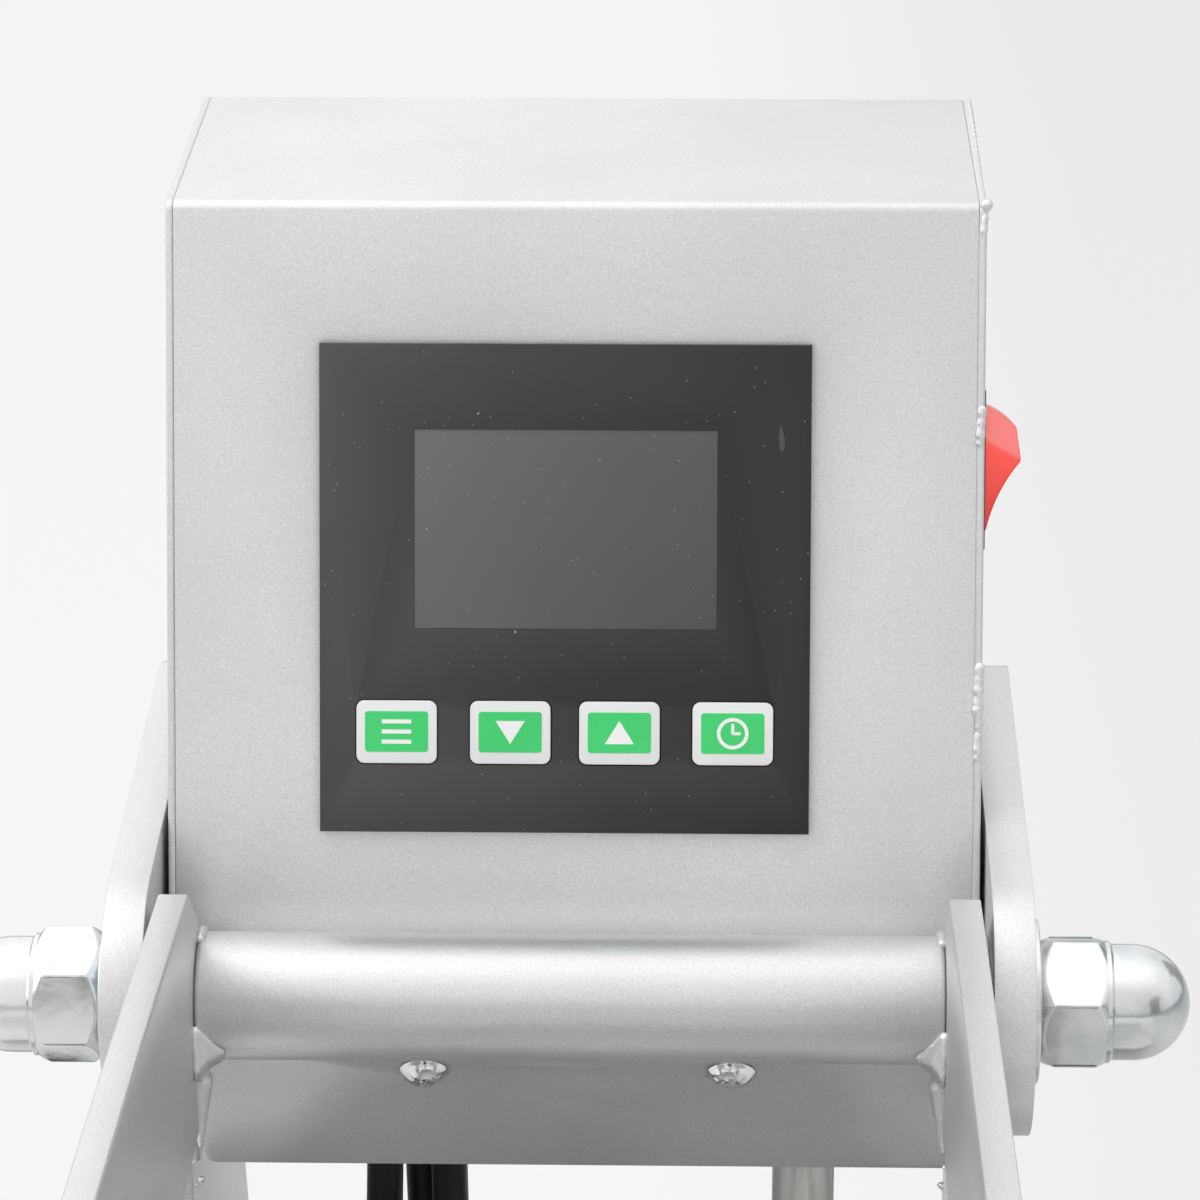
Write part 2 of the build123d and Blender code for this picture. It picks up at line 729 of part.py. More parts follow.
def make_handle():
    """Handle arms on their pivot tube, the bent bar with its grip, and the bolts."""
    middle = disc(spot(arm_middle_forward, arm_middle_rise), arm_middle_radius)
    front = disc(spot(arm_front_forward, arm_front_rise), arm_front_radius)
    outline = around(disc(pivot, arm_end_radius), middle)
    outline += around(middle, front)
    outline += around(middle, disc(link_pin, link_lobe_radius))
    outline &= clear_of_box()
    outline -= disc(pivot, stud_diameter / 2 + running_clearance)
    outline -= disc(link_pin, link_pin_diameter / 2)
    for forward in handle_bolt_forwards:
        outline -= disc(leg_place(forward), handle_bolt_diameter / 2)
    arm = cut_plate(outline, arm_inner_x, arm_outer_x)
    tube = cross_ring(pivot, tube_diameter, stud_diameter + 2 * running_clearance,
                      -arm_inner_x, arm_inner_x)

    start = leg_place(bar_start_forward)
    end = leg_place(bar_front_forward)
    path = FilletPolyline((bar_leg_x, *start), (bar_leg_x, *end), (-bar_leg_x, *end),
                          (-bar_leg_x, *start), radius=bar_bend_radius)
    ring = Circle(bar_diameter / 2) - Circle(bar_diameter / 2 - bar_wall)
    bar = sweep(Plane(origin=path @ 0, z_dir=path % 0) * ring, path=path)
    grip = cross_ring(end, grip_diameter, bar_diameter, -grip_length / 2, grip_length / 2)
    grip = fillet([edge for edge in grip.edges().filter_by(GeomType.CIRCLE)
                   if edge.radius > (bar_diameter + grip_diameter) / 4], grip_end_radius)

    bolts = []
    outer = bar_leg_x + bar_diameter / 2
    for forward in handle_bolt_forwards:
        place = leg_place(forward)
        hole = cross_rod(place, handle_bolt_diameter, -outer - cut_over, outer + cut_over)
        bar -= hole
        bolt = cross_rod(place, handle_bolt_diameter,
                         arm_inner_x - handle_nut_height - handle_bolt_end_over_nut, outer)
        bolt += cross_hex(place, handle_bolt_across_flats, outer, outer + handle_bolt_head_height)
        bolt += cross_hex(place, handle_bolt_across_flats, arm_inner_x - handle_nut_height, arm_inner_x)
        bolts += both_sides(bolt)

    head_start = arm_inner_x - link_pin_head_height
    pin = cross_rod(link_pin, link_pin_diameter, head_start, link_outer_x + link_nut_height)
    pin += cross_rod(link_pin, link_pin_head_diameter, head_start, arm_inner_x)
    pin += cross_rod(link_pin, link_pin_head_diameter, arm_outer_x, arm_outer_x + link_washer_thickness)
    pin += cross_hex(link_pin, link_pin_head_diameter, link_outer_x + washer_play,
                     link_outer_x + link_nut_height)
    return {"handle_arm_right": [arm], "handle_arm_left": [mirror(arm, about=Plane.YZ)],
            "pivot_tube": [tube], "handle_bar": [bar], "handle_grip": [grip],
            "handle_bolts": bolts, "link_pins": both_sides(pin)}


def make_links():
    """The toggle links and the bolts in their lower eyes."""
    outline = around(disc(link_pin, link_end_radius), disc(link_foot, link_end_radius))
    outline -= disc(link_pin, link_pin_diameter / 2 + running_clearance)
    outline -= disc(link_foot, link_pin_diameter / 2)
    link = cut_plate(outline, link_inner_x, link_outer_x)
    bolt = cross_rod(link_foot, link_pin_diameter, link_inner_x, link_outer_x)
    bolt += cross_hex(link_foot, link_pin_head_diameter, link_outer_x, link_outer_x + link_pin_head_height)
    return {"toggle_links": both_sides(link), "link_bolts": both_sides(bolt)}


def make_carrier():
    """The bars, tube, bushes and beam that carry the heating platen."""
    level = link_foot_drop
    straight = disc(spot(-carrier_straight_forward, -level), carrier_bar_radius)
    front = disc(spot(carrier_front_forward, -level), carrier_bar_radius)
    outline = around(disc(shaft, carrier_hub_radius), straight)
    outline += around(straight, front)
    outline -= disc(shaft, shaft_diameter / 2 + running_clearance)
    outline -= disc(strut_head, strut_cross_pin_diameter / 2)
    bar = cut_plate(outline, carrier_inner_x, carrier_outer_x)
    bore = shaft_diameter + 2 * running_clearance
    tube = cross_ring(shaft, carrier_tube_diameter, bore, -carrier_inner_x, carrier_inner_x)
    bushes = both_sides(cross_ring(shaft, bore + 2 * bush_wall, bore, carrier_outer_x,
                                   ear_inner_x - side_clearance))
    bushes += both_sides(cross_rod(link_foot, 2 * foot_bush_radius, carrier_outer_x,
                                   link_inner_x - side_clearance))
    beam = block((-carrier_inner_x, platen_middle_y - beam_width / 2, beam_bottom),
                 (carrier_inner_x, platen_middle_y + beam_width / 2, beam_top))
    beam -= upright_rod(0, platen_middle_y, spindle_diameter + 2 * running_clearance,
                        beam_bottom - cut_over, beam_top + cut_over)
    for side in (-1, 1):
        beam -= upright_rod(side * guide_pin_spacing / 2, platen_middle_y,
                            guide_pin_diameter + 2 * running_clearance,
                            beam_bottom - cut_over, beam_top + cut_over)
    pin = cross_rod(strut_head, strut_cross_pin_diameter, -carrier_outer_x, carrier_outer_x)
    return {"carrier_bars": both_sides(bar), "carrier_tube": [tube], "carrier_bushes": bushes,
            "spindle_beam": [beam], "strut_cross_pin": [pin]}


def make_spindle():
    """The pressure spindle with its collars, and the knob."""
    low = pivot_z - spindle_foot_drop
    knob_low = pivot_z + knob_bottom_rise
    top = pivot_z + spindle_top_rise
    spindle = upright_rod(0, platen_middle_y, spindle_diameter, low, top)
    spindle += upright_rod(0, platen_middle_y, collar_diameter, beam_top + washer_play,
                           beam_top + washer_play + collar_height)
    spindle += upright_rod(0, platen_middle_y, collar_diameter,
                           beam_bottom - washer_play - collar_height, beam_bottom - washer_play)
    disc_shape = Circle(knob_diameter / 2)
    for index in range(knob_lobes):
        angle = 360 / knob_lobes * index
        disc_shape -= Rot(0, 0, angle) * Pos(knob_diameter / 2 + knob_scallop_outset, 0) * Circle(
            knob_scallop_radius)
    knob = extrude(Pos(0, platen_middle_y, knob_low) * disc_shape, amount=knob_height)
    knob = fillet(knob.edges().group_by(Axis.Z)[-1], knob_edge_radius)
    knob -= upright_rod(0, platen_middle_y, spindle_diameter, knob_low - cut_over, top)
    return {"pressure_spindle": [spindle], "pressure_knob": [knob]}


def make_platen():
    """The heating platen with its heater, insulation, cover, nut plate and bolts."""
    square = RectangleRounded(platen_size, platen_size, platen_corner_radius)
    platen = extrude(Pos(0, platen_middle_y, platen_bottom) * square, amount=heating_platen_thickness)

    half = platen_size / 2 - heater_margin
    pitch = 2 * half / (heater_runs - 1)
    heater_z = platen_top - heater_diameter / 2 - heater_depth
    points = []
    for run in range(heater_runs):
        x = -half + pitch * run
        ends = (-half, half) if run % 2 == 0 else (half, -half)
        points += [(x, platen_middle_y + ends[0], heater_z), (x, platen_middle_y + ends[1], heater_z)]
    path = FilletPolyline(*points, radius=heater_bend_radius)
    heater = sweep(Plane(origin=path @ 0, z_dir=path % 0) * Circle(heater_diameter / 2), path=path)
    platen -= heater

    boss_low = platen_top + nut_plate_thickness
    nut = block((-nut_plate_length / 2, platen_middle_y - nut_plate_width / 2, platen_top),
                (nut_plate_length / 2, platen_middle_y + nut_plate_width / 2, boss_low))
    nut += upright_rod(0, platen_middle_y, nut_boss_diameter, boss_low, boss_low + nut_boss_height)
    nut -= upright_rod(0, platen_middle_y, spindle_diameter + 2 * running_clearance,
                       platen_top + nut_floor_thickness, boss_low + nut_boss_height + cut_over)
    for side in (-1, 1):
        nut += upright_rod(side * guide_pin_spacing / 2, platen_middle_y, guide_pin_diameter,
                           boss_low, pivot_z - guide_pin_top_drop)

    board_size = platen_size - 2 * insulation_margin
    board = block((-board_size / 2, platen_middle_y - board_size / 2, platen_top),
                  (board_size / 2, platen_middle_y + board_size / 2, insulation_top))
    board -= block((-nut_plate_length / 2 - side_clearance,
                    platen_middle_y - nut_plate_width / 2 - side_clearance, platen_top - cut_over),
                   (nut_plate_length / 2 + side_clearance,
                    platen_middle_y + nut_plate_width / 2 + side_clearance, insulation_top + cut_over))

    outer_size = platen_size + 2 * cover_side_gap + 2 * cover_wall
    skirt_bottom = platen_top - cover_skirt_over_platen
    cover_corner_radius = platen_corner_radius + cover_side_gap + cover_wall
    outer = RectangleRounded(outer_size, outer_size, cover_corner_radius)
    inner = RectangleRounded(outer_size - 2 * cover_wall, outer_size - 2 * cover_wall,
                             cover_corner_radius - cover_wall)
    cover = extrude(Pos(0, platen_middle_y, skirt_bottom) * outer, amount=platen_cover_top - skirt_bottom)
    cover = fillet(cover.edges().group_by(Axis.Z)[-1], cover_edge_radius)
    hollow = extrude(Pos(0, platen_middle_y, skirt_bottom - cut_over) * inner,
                     amount=platen_cover_top - cover_wall - skirt_bottom + cut_over)
    cover -= fillet(hollow.edges().group_by(Axis.Z)[-1], cover_edge_radius - cover_wall)
    cover -= upright_rod(0, platen_middle_y, nut_boss_diameter + 2 * cover_hole_play,
                         platen_top, platen_cover_top + cut_over)
    for side in (-1, 1):
        cover -= upright_rod(side * guide_pin_spacing / 2, platen_middle_y,
                             guide_pin_diameter + 2 * cover_hole_play,
                             platen_top, platen_cover_top + cut_over)

    bolts = []
    bolt_low = platen_top - cover_skirt_over_platen
    for x in (-cover_bolt_spacing / 2, cover_bolt_spacing / 2):
        for y in (platen_middle_y - cover_bolt_spacing / 2, platen_middle_y + cover_bolt_spacing / 2):
            shank = upright_rod(x, y, cover_bolt_diameter, bolt_low, platen_cover_top)
            sleeve = upright_rod(x, y, cover_bolt_across_flats, insulation_top,
                                 platen_cover_top - cover_wall)
            head = extrude(Pos(x, y, platen_cover_top) * RegularPolygon(
                cover_bolt_across_flats / 2, 6, major_radius=False), amount=cover_bolt_head_height)
            bolts.append(shank + sleeve + head)
            hole = upright_rod(x, y, cover_bolt_diameter, bolt_low, platen_cover_top + cut_over)
            platen -= hole
            board -= hole
            cover -= hole
    return {"heating_platen": [platen], "heater_element": [heater], "platen_nut": [nut],
            "insulation_board": [board], "platen_cover": [cover], "cover_bolts": bolts}


def make_strut():
    """The lift strut between the rear crossbar and the carrier."""
    run = (strut_head[0] - strut_foot[0], strut_head[1] - strut_foot[1])
    length = math.hypot(*run)
    axis = Plane(origin=(0, *strut_foot), x_dir=(1, 0, 0), z_dir=(0, run[0] / length, run[1] / length))
    half_eye = strut_eye_width / 2
    neck_start = strut_eye_radius - strut_eye_overlap
    pin_bore = strut_pin_diameter + 2 * running_clearance

    cylinder = axis * Pos(0, 0, (strut_cylinder_start + strut_cylinder_end) / 2) * Cylinder(
        strut_cylinder_diameter / 2, strut_cylinder_end - strut_cylinder_start)
    cylinder += cross_rod(strut_foot, 2 * strut_eye_radius, -half_eye, half_eye)
    cylinder += axis * Pos(0, 0, (neck_start + strut_cylinder_start) / 2) * Cylinder(
        strut_neck_diameter / 2, strut_cylinder_start - neck_start)
    cylinder -= cross_rod(strut_foot, pin_bore, -half_eye - cut_over, half_eye + cut_over)
    bore_end = strut_cylinder_end + cut_over
    cylinder -= axis * Pos(0, 0, (strut_cylinder_bore_start + bore_end) / 2) * Cylinder(
        strut_rod_diameter / 2 + running_clearance, bore_end - strut_cylinder_bore_start)

    rod_end = length - strut_head_eye_radius + strut_eye_overlap
    rod = axis * Pos(0, 0, (strut_rod_start + rod_end) / 2) * Cylinder(
        strut_rod_diameter / 2, rod_end - strut_rod_start)
    rod += cross_rod(strut_head, 2 * strut_head_eye_radius, -half_eye, half_eye)
    rod -= cross_rod(strut_head, strut_cross_pin_diameter + 2 * strut_head_play,
                     -half_eye - cut_over, half_eye + cut_over)

    cheek_x = half_eye + side_clearance
    crossbar_front = pivot_y + rail_rear_back - rail_size
    cheek = block((cheek_x, strut_foot[0], strut_foot[1] - bracket_height / 2),
                  (cheek_x + bracket_cheek_thickness, crossbar_front, strut_foot[1] + bracket_height / 2))
    cheek += cross_rod(strut_foot, bracket_height, cheek_x, cheek_x + bracket_cheek_thickness)
    pin = cross_rod(strut_foot, strut_pin_diameter, -cheek_x, cheek_x)
    bracket = cheek + mirror(cheek, about=Plane.YZ) + pin
    return {"strut_bracket": [bracket], "strut_cylinder": [cylinder], "strut_rod": [rod]}


def lead_tube(name, diameter, points):
    """A cable along its route: straight runs with arcs as large as the runs allow."""
    runs = [Vector(*end) - Vector(*start) for start, end in zip(points[:-1], points[1:])]
    radii = []
    for first, second in zip(runs[:-1], runs[1:]):
        turn = math.radians(first.get_angle(second))
        radii.append(lead_bend_share * min(first.length, second.length) / math.tan(turn / 2))
    path = FilletPolyline(*points, radius=radii)
    tube = sweep(Plane(origin=path @ 0, z_dir=path % 0) * Circle(diameter / 2), path=path)
    section = math.pi * diameter ** 2 / 4
    print(name, "radii", [round(radius) for radius in radii], "length", round(path.length, 1),
          "volume over section times length", round(tube.volume / section / path.length, 4))
    return tube


def turn_gap(points_on_path, diameter):
    """The least gap between a wound tube's own turns, measured on points along it."""
    skip = 2 * diameter
    step = (points_on_path[1] - points_on_path[0]).length
    count = int(skip * math.pi / step)
    least = min((a - b).length for i, a in enumerate(points_on_path)
                for b in points_on_path[i + count:])
    return least - diameter


def make_coil(entry):
    """The put-away part of the mains lead: two flat layers of half turns, one over the other."""
    x, y, z = entry
    heading = -1
    edges = [Line((x + lead_diameter, y, z), (x, y, z))]
    steps = [(coil_start_radius - coil_pitch / 2 * i, 0) for i in range(coil_half_turns_in)]
    inner = coil_start_radius - coil_pitch / 2 * coil_half_turns_in
    steps.append((inner, coil_pitch))
    steps += [(inner + coil_pitch / 2 * (i + 1), 0) for i in range(coil_half_turns_in - 1)]
    for radius, climb in steps:
        end_y = y - heading * 2 * radius
        crest = math.sqrt(radius ** 2 + climb ** 2 / 4)
        middle = (x + heading * crest, y - heading * radius, z + climb / 2)
        start_tangent = Vector(heading, 0, 0)
        first = Edge.make_tangent_arc(Vector(x, y, z), start_tangent, Vector(*middle))
        second = Edge.make_tangent_arc(Vector(*middle), first % 1, Vector(x, end_y, z + climb))
        edges += [first, second]
        y, z, heading = end_y, z + climb, -heading
    edges.append(Line((x, y, z), (x + heading * coil_end_straight, y, z)))
    path = Wire(edges)
    samples = [path @ (i / coil_samples) for i in range(coil_samples + 1)]
    print("mains_coil least gap", round(turn_gap(samples, lead_diameter), 2),
          "length", round(path.length, 1))
    start = Plane(origin=path @ 0, z_dir=path % 0)
    tube = sweep(start * Circle(lead_diameter / 2), path=path)
    return tube, (x + heading * coil_end_straight, y, z)


def make_plug(entry):
    """A plain three-pin mains plug that lies on the table beside the coil."""
    x, y, z = entry
    body_start = x - plug_relief_length
    body_end = body_start - plug_length
    half_height = z - table_gap
    relief = Pos(x - plug_relief_length / 2, y, z) * Rot(0, -90, 0) * Cone(
        lead_diameter / 2 + plug_relief_wall, plug_relief_end_radius, plug_relief_length)
    body = block((body_end, y - plug_width / 2, table_gap),
                 (body_start, y + plug_width / 2, z + half_height))
    plug = relief + fillet(body.edges().filter_by(Axis.X), plug_edge_radius)
    for side in (-1, 1):
        plug += cross_rod((y + side * plug_pin_spacing / 2, z), plug_pin_diameter,
                          body_end - plug_pin_length, body_end)
    plug += cross_rod((y, z + half_height / 2), plug_pin_diameter, body_end - plug_pin_length, body_end)
    return plug


def make_leads():
    """The cables that hang from the box, the coil of the mains lead and its plug."""
    cover_low = chin_foot[1]
    gland_y = pivot_y + gland_back
    gland_low = cover_low - gland_height
    floor_z = lead_diameter / 2 + table_gap
    rear_y = pivot_y + rail_rear_back
    coil_entry = (mains_x - coil_left_of_gland, rear_y + coil_behind_rails, floor_z)
    mains = lead_tube("mains_lead", lead_diameter, [
        (mains_x, gland_y, gland_low),
        (mains_x, gland_y, gland_low - 34),
        (mains_x - 4, gland_y + 8, gland_low - 66),
        (mains_x - 7, gland_y + 28, gland_low - 94),
        (mains_x - 8, gland_y + 56, gland_low - 112),
        (mains_x - 7, gland_y + 88, gland_low - 124),
        (mains_x - 9, gland_y + 118, gland_low - 134),
        (mains_x - 14, gland_y + 132, gland_low - 158),
        (mains_x - 26, coil_entry[1], gland_low - 179),
        (mains_x - 47, coil_entry[1], floor_z),
        (coil_entry[0] + lead_diameter, coil_entry[1], floor_z)])
    coil, coil_end = make_coil(coil_entry)
    plug = make_plug(coil_end)
    crossbar_front = rear_y - rail_size
    middle_z = (rail_bottom + rail_top) / 2
    earth_y = gland_y + earth_step_back
    earth = lead_tube("earth_lead", lead_diameter, [
        (earth_x, earth_y, gland_low),
        (earth_x, earth_y, gland_low - 34),
        (earth_x + 2, earth_y + 7, gland_low - 72),
        (earth_x + 6, earth_y + 18, gland_low - 110),
        (earth_x + 9, earth_y + 34, gland_low - 142),
        (earth_x + 10, crossbar_front - 24, middle_z),
        (earth_x + 10, crossbar_front, middle_z)])
    cover_rear = platen_middle_y + platen_size / 2 + cover_side_gap + cover_wall
    entry_z = platen_cover_top - lead_entry_drop
    heater = lead_tube("heater_lead", lead_diameter, [
        (heater_x, gland_y, gland_low),
        (heater_x, gland_y, gland_low - 34),
        (heater_x + 2, gland_y - 6, gland_low - 66),
        (heater_x + 2, gland_y - 30, gland_low - 92),
        (heater_x + 1, gland_y - 62, gland_low - 100),
        (heater_x, gland_y - 96, gland_low - 88),
        (heater_x, cover_rear + 20, entry_z),
        (heater_x, cover_rear, entry_z)])
    sleeve = lead_tube("sensor_sleeve", sleeve_diameter, [
        (sleeve_x, gland_y, gland_low),
        (sleeve_x, gland_y, gland_low - 36),
        (sleeve_x - 1, gland_y - 8, gland_low - 72),
        (sleeve_x - 2, gland_y - 34, gland_low - 98),
        (sleeve_x - 2, gland_y - 68, gland_low - 104),
        (sleeve_x - 1, gland_y - 100, gland_low - 91),
        (sleeve_x, cover_rear + 22, entry_z),
        (sleeve_x, cover_rear, entry_z)])
    return {"mains_lead": [mains], "mains_coil": [coil], "mains_plug": [plug],
            "earth_lead": [earth], "heater_lead": [heater], "sensor_sleeve": [sleeve]}


def main():
    """Build every sub-part and write one STEP file for each."""
    os.makedirs("parts", exist_ok=True)
    nodes = {}
    for make in (make_base, make_side_plates, make_box, make_switch, make_controller, make_pivots,
                 make_handle, make_links, make_carrier, make_spindle, make_platen, make_strut,
                 make_leads):
        nodes.update(make())
    for name, pieces in nodes.items():
        solids = [solid for piece in pieces for solid in piece.solids()]
        shape = solids[0] if len(solids) == 1 else Compound(children=solids)
        shape.label = name
        export_step(shape, f"parts/{name}.step")
    print(len(nodes), "nodes")


main()
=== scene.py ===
import logging
import math
from dataclasses import dataclass
from enum import Enum
from typing import Any, Callable, Optional, Sequence

import bpy
from mathutils import Matrix, Vector


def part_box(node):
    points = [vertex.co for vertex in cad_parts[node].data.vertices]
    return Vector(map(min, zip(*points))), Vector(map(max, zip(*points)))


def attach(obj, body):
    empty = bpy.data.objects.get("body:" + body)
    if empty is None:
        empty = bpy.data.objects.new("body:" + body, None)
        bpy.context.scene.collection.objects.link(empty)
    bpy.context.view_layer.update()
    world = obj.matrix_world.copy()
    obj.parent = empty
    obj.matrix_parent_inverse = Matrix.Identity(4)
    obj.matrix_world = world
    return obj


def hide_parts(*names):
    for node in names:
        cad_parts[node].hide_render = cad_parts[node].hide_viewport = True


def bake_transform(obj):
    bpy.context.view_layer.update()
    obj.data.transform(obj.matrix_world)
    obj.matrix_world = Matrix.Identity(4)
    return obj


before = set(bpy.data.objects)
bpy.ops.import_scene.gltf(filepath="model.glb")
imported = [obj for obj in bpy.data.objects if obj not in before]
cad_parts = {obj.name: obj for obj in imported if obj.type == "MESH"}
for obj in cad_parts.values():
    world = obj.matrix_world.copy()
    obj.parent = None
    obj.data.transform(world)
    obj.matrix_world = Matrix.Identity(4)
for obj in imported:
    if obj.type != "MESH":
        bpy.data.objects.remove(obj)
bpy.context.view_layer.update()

MM = 0.001

log = logging.getLogger("heat_press")
Color = tuple[float, float, float, float]
Point = tuple[float, float, float]


class Element(Enum):
    """The kinds of mesh element that an operator can act on."""

    VERTEX = "VERT"
    EDGE = "EDGE"
    FACE = "FACE"


class Icon(Enum):
    """The plain signs on the four keys of the controller."""

    MENU = "menu"
    DOWN = "down"
    UP = "up"
    CLOCK = "clock"


@dataclass(frozen=True)
class Layout:
    """Main places of the press in metres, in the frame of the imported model."""

    pivot_y: float = 0.120
    pivot_z: float = 0.260
    face_foot_back: float = 0.0105
    face_foot_drop: float = 0.014
    face_height: float = 0.165
    face_tilt: float = math.radians(14.9)
    box_width: float = 0.160
    chin_lean: float = math.radians(38.0)
    chin_length: float = 0.0578
    gland_back: float = 0.100
    gland_height: float = 0.006

    def spot(self, x: float, back: float, rise: float) -> Vector:
        """A place stated from the handle pivot.

        Args:
            x: Distance to the right of the middle.
            back: Distance behind the pivot.
            rise: Distance above the pivot.

        Returns:
            The place in the frame.
        """
        return Vector((x, self.pivot_y + back, self.pivot_z + rise))

    @property
    def face_foot(self) -> Vector:
        """The fold between the face and the chin."""
        return self.spot(0, self.face_foot_back, -self.face_foot_drop)

    @property
    def face_up(self) -> Vector:
        """The direction up the face."""
        return Vector((0, math.sin(self.face_tilt), math.cos(self.face_tilt)))

    @property
    def face_out(self) -> Vector:
        """The direction out of the face."""
        return Vector((0, -math.cos(self.face_tilt), math.sin(self.face_tilt)))

    @property
    def chin_down(self) -> Vector:
        """The direction down the chin."""
        return Vector((0, math.sin(self.chin_lean), -math.cos(self.chin_lean)))

    @property
    def chin_out(self) -> Vector:
        """The direction out of the chin."""
        return Vector((0, -math.cos(self.chin_lean), -math.sin(self.chin_lean)))

    def on_face(self, x: float, down: float, out: float = 0.0) -> Vector:
        """A place on the face, from its top fold.

        Args:
            x: Distance to the right of the middle.
            down: Distance down the slope.
            out: Distance out of the surface.

        Returns:
            The place in the frame.
        """
        top = self.face_foot + self.face_up * self.face_height
        return top - self.face_up * down + self.face_out * out + Vector((x, 0, 0))

    def on_chin(self, x: float, down: float) -> Vector:
        """A place on the chin, to the right of the middle and down from the fold above it."""
        return self.face_foot + self.chin_down * down + Vector((x, 0, 0))


LAYOUT = Layout()


class Value:
    """A shader socket that can be used in sums and products."""

    def __init__(self, graph: "Graph", socket: Any) -> None:
        """Wrap a socket.

        Args:
            graph: The material that the socket belongs to.
            socket: The output socket.
        """
        self.graph = graph
        self.socket = socket

    def _math(self, operation: str, first: Any, second: Any) -> "Value":
        """Join two values with one Math node.

        Args:
            operation: The Math node's operation.
            first: The left value or number.
            second: The right value or number.

        Returns:
            The result.
        """
        return self.graph.node("ShaderNodeMath", {0: first, 1: second}, operation=operation)

    def __add__(self, other: Any) -> "Value":
        """Add."""
        return self._math("ADD", self, other)

    def __radd__(self, other: Any) -> "Value":
        """Add, reflected."""
        return self._math("ADD", other, self)

    def __sub__(self, other: Any) -> "Value":
        """Subtract."""
        return self._math("SUBTRACT", self, other)

    def __rsub__(self, other: Any) -> "Value":
        """Subtract, reflected."""
        return self._math("SUBTRACT", other, self)

    def __mul__(self, other: Any) -> "Value":
        """Multiply."""
        return self._math("MULTIPLY", self, other)

    def above(self, threshold: float) -> "Value":
        """One where this value is over a threshold, else zero."""
        return self._math("GREATER_THAN", self, threshold)

    def magnitude(self) -> "Value":
        """The value without its sign."""
        return self._math("ABSOLUTE", self, 0.0)


